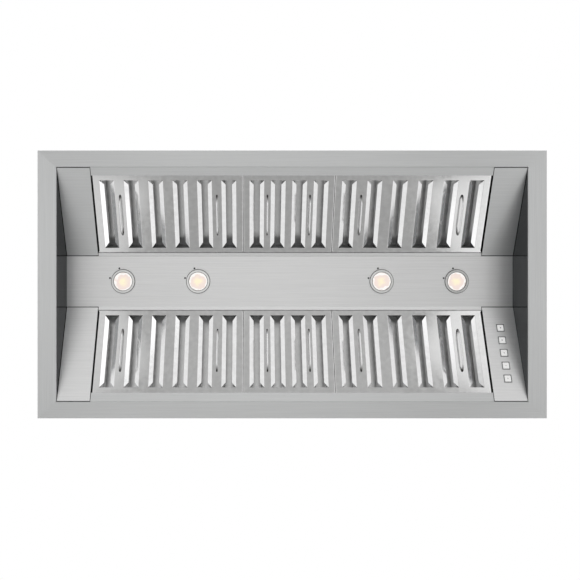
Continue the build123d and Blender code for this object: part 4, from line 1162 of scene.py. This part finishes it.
def button_mark(number):
    """A generic sign: power, slower, faster, timer or light."""
    stroke, radius, top = 0.55 * MM, 2.0 * MM, 0.06 * MM
    disc, line = 0.6 * radius, 1.2 * stroke
    rings = {1: (radius, stroke, 120, 420), 4: (radius, stroke, 0, 360),
             5: (disc, disc - 0.01 * MM, 0, 360)}
    bars = {1: [(0, 0.75 * radius, stroke, radius, 0)],
            2: [(0, 0, 2 * radius, line, 0)],
            3: [(0, 0, 2 * radius, line, 0), (0, 0, line, 2 * radius, 0)],
            4: [(0, 0.35 * radius, 0.8 * stroke, 0.8 * radius, 0),
                (0.25 * radius, 0, 0.6 * radius, 0.8 * stroke, 0)],
            5: [(0.95 * radius, 0, 0.4 * radius, 0.7 * stroke, turn)
                for turn in range(0, 360, 45)]}
    work = bmesh.new()
    if number in rings:
        printed_ring(work, *rings[number], top)
    for x, y, width, height, turn in bars[number]:
        block(work, (x, y, top / 2), (width, height, top), math.radians(turn))
    return to_mesh(work, "mark")


class HOOD_OT_controls(Operator):
    """Button caps with their printed marks, bezels, control box and board"""
    bl_idname = "hood.controls"
    bl_label = "Controls"

    def execute(self, context):
        outwards, across = -PRESS, Vector((1, 0, 0))
        turn = Matrix((across, outwards.cross(across), outwards)).transposed().to_4x4()
        dish = 0.25 * MM
        for number in range(1, 6):
            name = f"button_{number}"
            points = islands(name)[0]
            front = front_centre(points, outwards)
            cap = self.cap([turn.inverted() @ (point - front) for point in points], dish)
            cap.transform(Matrix.Translation(front) @ turn)
            piece("cap_" + name, cap, "cap", name)
            # The mark's lowest 0.02 mm lie in the cap, so that the two never part.
            mark = button_mark(number)
            seat = front - outwards * (dish + 0.02 * MM)
            mark.transform(Matrix.Translation(seat) @ turn)
            piece("mark_" + name, mark, "mark", name, replaced=False, smooth=0)
        groups = islands("button_bezels")
        fronts = [front_centre(points, outwards) for points in groups]
        bezel = self.bezel([turn.inverted() @ (point - fronts[0]) for point in groups[0]])
        bezel.transform(turn)
        copied("rounded_bezels", bezel, fronts, "bezel", "button_bezels")
        softened("control_box", 0.8 * MM, "box")
        dress("board", "control_board")
        return {"FINISHED"}

    def cap(self, points, dish):
        """A square cap with rounded edges and a shallow dish, on a wider foot."""
        corner, edge, foot, flat = 1.4 * MM, 0.7 * MM, 1.5 * MM, 1.5 * MM
        side = 2 * max(point.x for point in points if point.z > -1 * MM)
        wide = 2 * max(point.x for point in points)
        deep = -min(point.z for point in points)
        step = deep - foot
        return stacked([(side - 2 * flat, 0.6 * corner, -dish),
                        (side - 2 * edge, corner - edge / 2, 0.0),
                        (side - 0.6 * edge, corner, -0.3 * edge),
                        (side, corner, -edge), (side, corner, -step),
                        (wide, corner, -step - 0.01 * MM), (wide, corner, -deep)])

    def bezel(self, points):
        """A square collar, the front edges of its flange and hole rounded."""
        corner, edge, flange = 1.6 * MM, 0.4 * MM, 1.2 * MM
        inner = corner - edge
        deep = -min(point.z for point in points)
        side = 2 * max(point.x for point in points)
        hole = 2 * min(abs(point.x) for point in points)
        sleeve = 2 * max(point.x for point in points if point.z < -deep / 2)
        return stacked([(hole, inner, -deep), (hole, inner, -edge),
                        (hole + edge, corner - edge / 2, 0.0),
                        (side - 2 * edge, corner - edge / 2, 0.0),
                        (side, corner, -edge), (side, corner, -flange),
                        (sleeve, inner, -flange), (sleeve, inner, -deep)], hole=True)


# ---- Blower, outlet and chimney ----

class HOOD_OT_blower(Operator):
    """Blower scroll, fan wheel and motor inside the canopy"""
    bl_idname = "hood.blower"
    bl_label = "Blower"

    def execute(self, context):
        softened("blower_scroll", 0.2 * MM, "zinc")
        dress("wheel", "impeller")
        dress("shaft", "motor_shaft")
        softened("motor", 2.0 * MM, "enamel")
        dress("zinc", "motor_spider")
        return {"FINISHED"}


class HOOD_OT_outlet(Operator):
    """Duct collar with its damper, and the wiring box beside it"""
    bl_idname = "hood.outlet"
    bl_label = "Outlet"

    def execute(self, context):
        dress("zinc", "outlet_collar", "damper_flap_left", "damper_flap_right")
        dress("shaft", "damper_rod")
        softened("junction_box", 0.5 * MM, "zinc")
        return {"FINISHED"}


class HOOD_OT_chimney(Operator):
    """Telescoping covers, hanger frame and the screws that hold the upper cover"""
    bl_idname = "hood.chimney"
    bl_label = "Chimney"

    def execute(self, context):
        edge = context.scene.hood.finish.edge
        for node, look in (("chimney_cover_lower", "sheet_z"),
                           ("chimney_cover_upper", "sheet_z"),
                           ("ceiling_plate", "zinc"), ("hanger_legs", "zinc")):
            softened(node, edge, look)
        dress("plated", "cover_screws")
        return {"FINISHED"}


# ---- Stage ----

class HOOD_OT_stage(Operator):
    """Pale floor, soft studio light, white surroundings and the camera"""
    bl_idname = "hood.stage"
    bl_label = "Stage"

    def execute(self, context):
        settings = context.scene.hood.stage
        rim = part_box("canopy_band_front")[0].z
        x, y = settings.floor_width / 2, settings.floor_depth / 2
        z = rim - settings.floor_drop
        mesh = bpy.data.meshes.new("floor")
        mesh.from_pydata([(-x, -y, z), (x, -y, z), (x, y, z), (-x, y, z)], [],
                         [(0, 1, 2, 3)])
        mesh.materials.append(moulded_plastic("Matt painted floor", settings.floor, 0.8))
        floor = placed("floor", mesh)
        self.lights(rim)
        self.world(context, settings.ambient)
        camera = placed("camera", bpy.data.cameras.new("camera"))
        camera.location = (settings.camera_x, settings.camera_y, rim - settings.distance)
        camera.rotation_euler = (0, math.pi, 0)
        camera.data.lens = settings.lens
        camera.data.shift_x = settings.shift_x
        camera.data.shift_y = settings.shift_y
        camera.data.clip_start = 0.05
        camera.data.clip_end = 50
        context.scene.camera = camera
        context.scene.view_settings.view_transform = "Standard"
        return {"FINISHED"}

    def lights(self, rim):
        """Large soft panels below the rim, turned towards its middle."""
        for name, ((x, y, drop), width, depth, watts) in LIGHTS.items():
            light = bpy.data.lights.new(name, "AREA")
            light.shape = "RECTANGLE"
            light.size, light.size_y, light.energy = width, depth, watts
            lamp = placed(name, light)
            lamp.location = (x, y, rim - drop)
            aim = Vector((-x, -y, drop))
            lamp.rotation_euler = aim.to_track_quat("-Z", "Y").to_euler()
            lamp.visible_camera = False

    def world(self, context, ambient):
        """White wherever it is seen or mirrored, a plain soft light elsewhere."""
        world = bpy.data.worlds.new("studio")
        context.scene.world = world
        world.use_nodes = True
        tree = world.node_tree
        tree.nodes.clear()
        rays = add(tree, "ShaderNodeLightPath").outputs
        seen = rays["Is Camera Ray"]
        for kind in ("Is Glossy Ray", "Is Transmission Ray"):
            seen = add(tree, "ShaderNodeMath", {0: seen, 1: rays[kind]},
                       operation="MAXIMUM").outputs[0]
        soft, white = (
            add(tree, "ShaderNodeBackground", {"Color": (1, 1, 1, 1), "Strength": strength})
            for strength in (ambient, 1.0))
        mix = add(tree, "ShaderNodeMixShader",
                  {"Fac": seen, 1: soft.outputs[0], 2: white.outputs[0]})
        add(tree, "ShaderNodeOutputWorld", {"Surface": mix.outputs[0]})


# ---- Panel and registration ----

OPERATORS = (HOOD_OT_canopy, HOOD_OT_recess, HOOD_OT_filters, HOOD_OT_baffles,
             HOOD_OT_handles, HOOD_OT_lamps, HOOD_OT_controls, HOOD_OT_blower,
             HOOD_OT_outlet, HOOD_OT_chimney, HOOD_OT_stage)


class HOOD_PT_panel(Panel):
    """Sizes, finishes and pieces of the range hood"""
    bl_label = "Island Range Hood"
    bl_space_type = "VIEW_3D"
    bl_region_type = "UI"
    bl_category = "Hood"

    def draw(self, context):
        layout = self.layout
        settings = context.scene.hood
        for group in (settings.finish, settings.filters, settings.stage):
            box = layout.box()
            for prop in group.bl_rna.properties:
                if not prop.is_readonly and prop.identifier != "name":
                    box.prop(group, prop.identifier)
        for operator in OPERATORS:
            layout.operator(operator.bl_idname)


CLASSES = (HoodFinish, HoodFilter, HoodStage, HoodSettings) + OPERATORS + (HOOD_PT_panel,)


def register():
    for item in CLASSES:
        bpy.utils.register_class(item)
    bpy.types.Scene.hood = PointerProperty(type=HoodSettings)


def unregister():
    del bpy.types.Scene.hood
    for item in reversed(CLASSES):
        bpy.utils.unregister_class(item)


def main():
    """Build every piece in order."""
    register()
    LOOKS.update(make_materials(bpy.context.scene.hood.finish))
    TREES.update(row=row_tree(), places=places_tree(), wire=wire_tree())
    for operator in OPERATORS:
        family, action = operator.bl_idname.split(".")
        getattr(getattr(bpy.ops, family), action)()


if __name__ == "__main__":
    main()
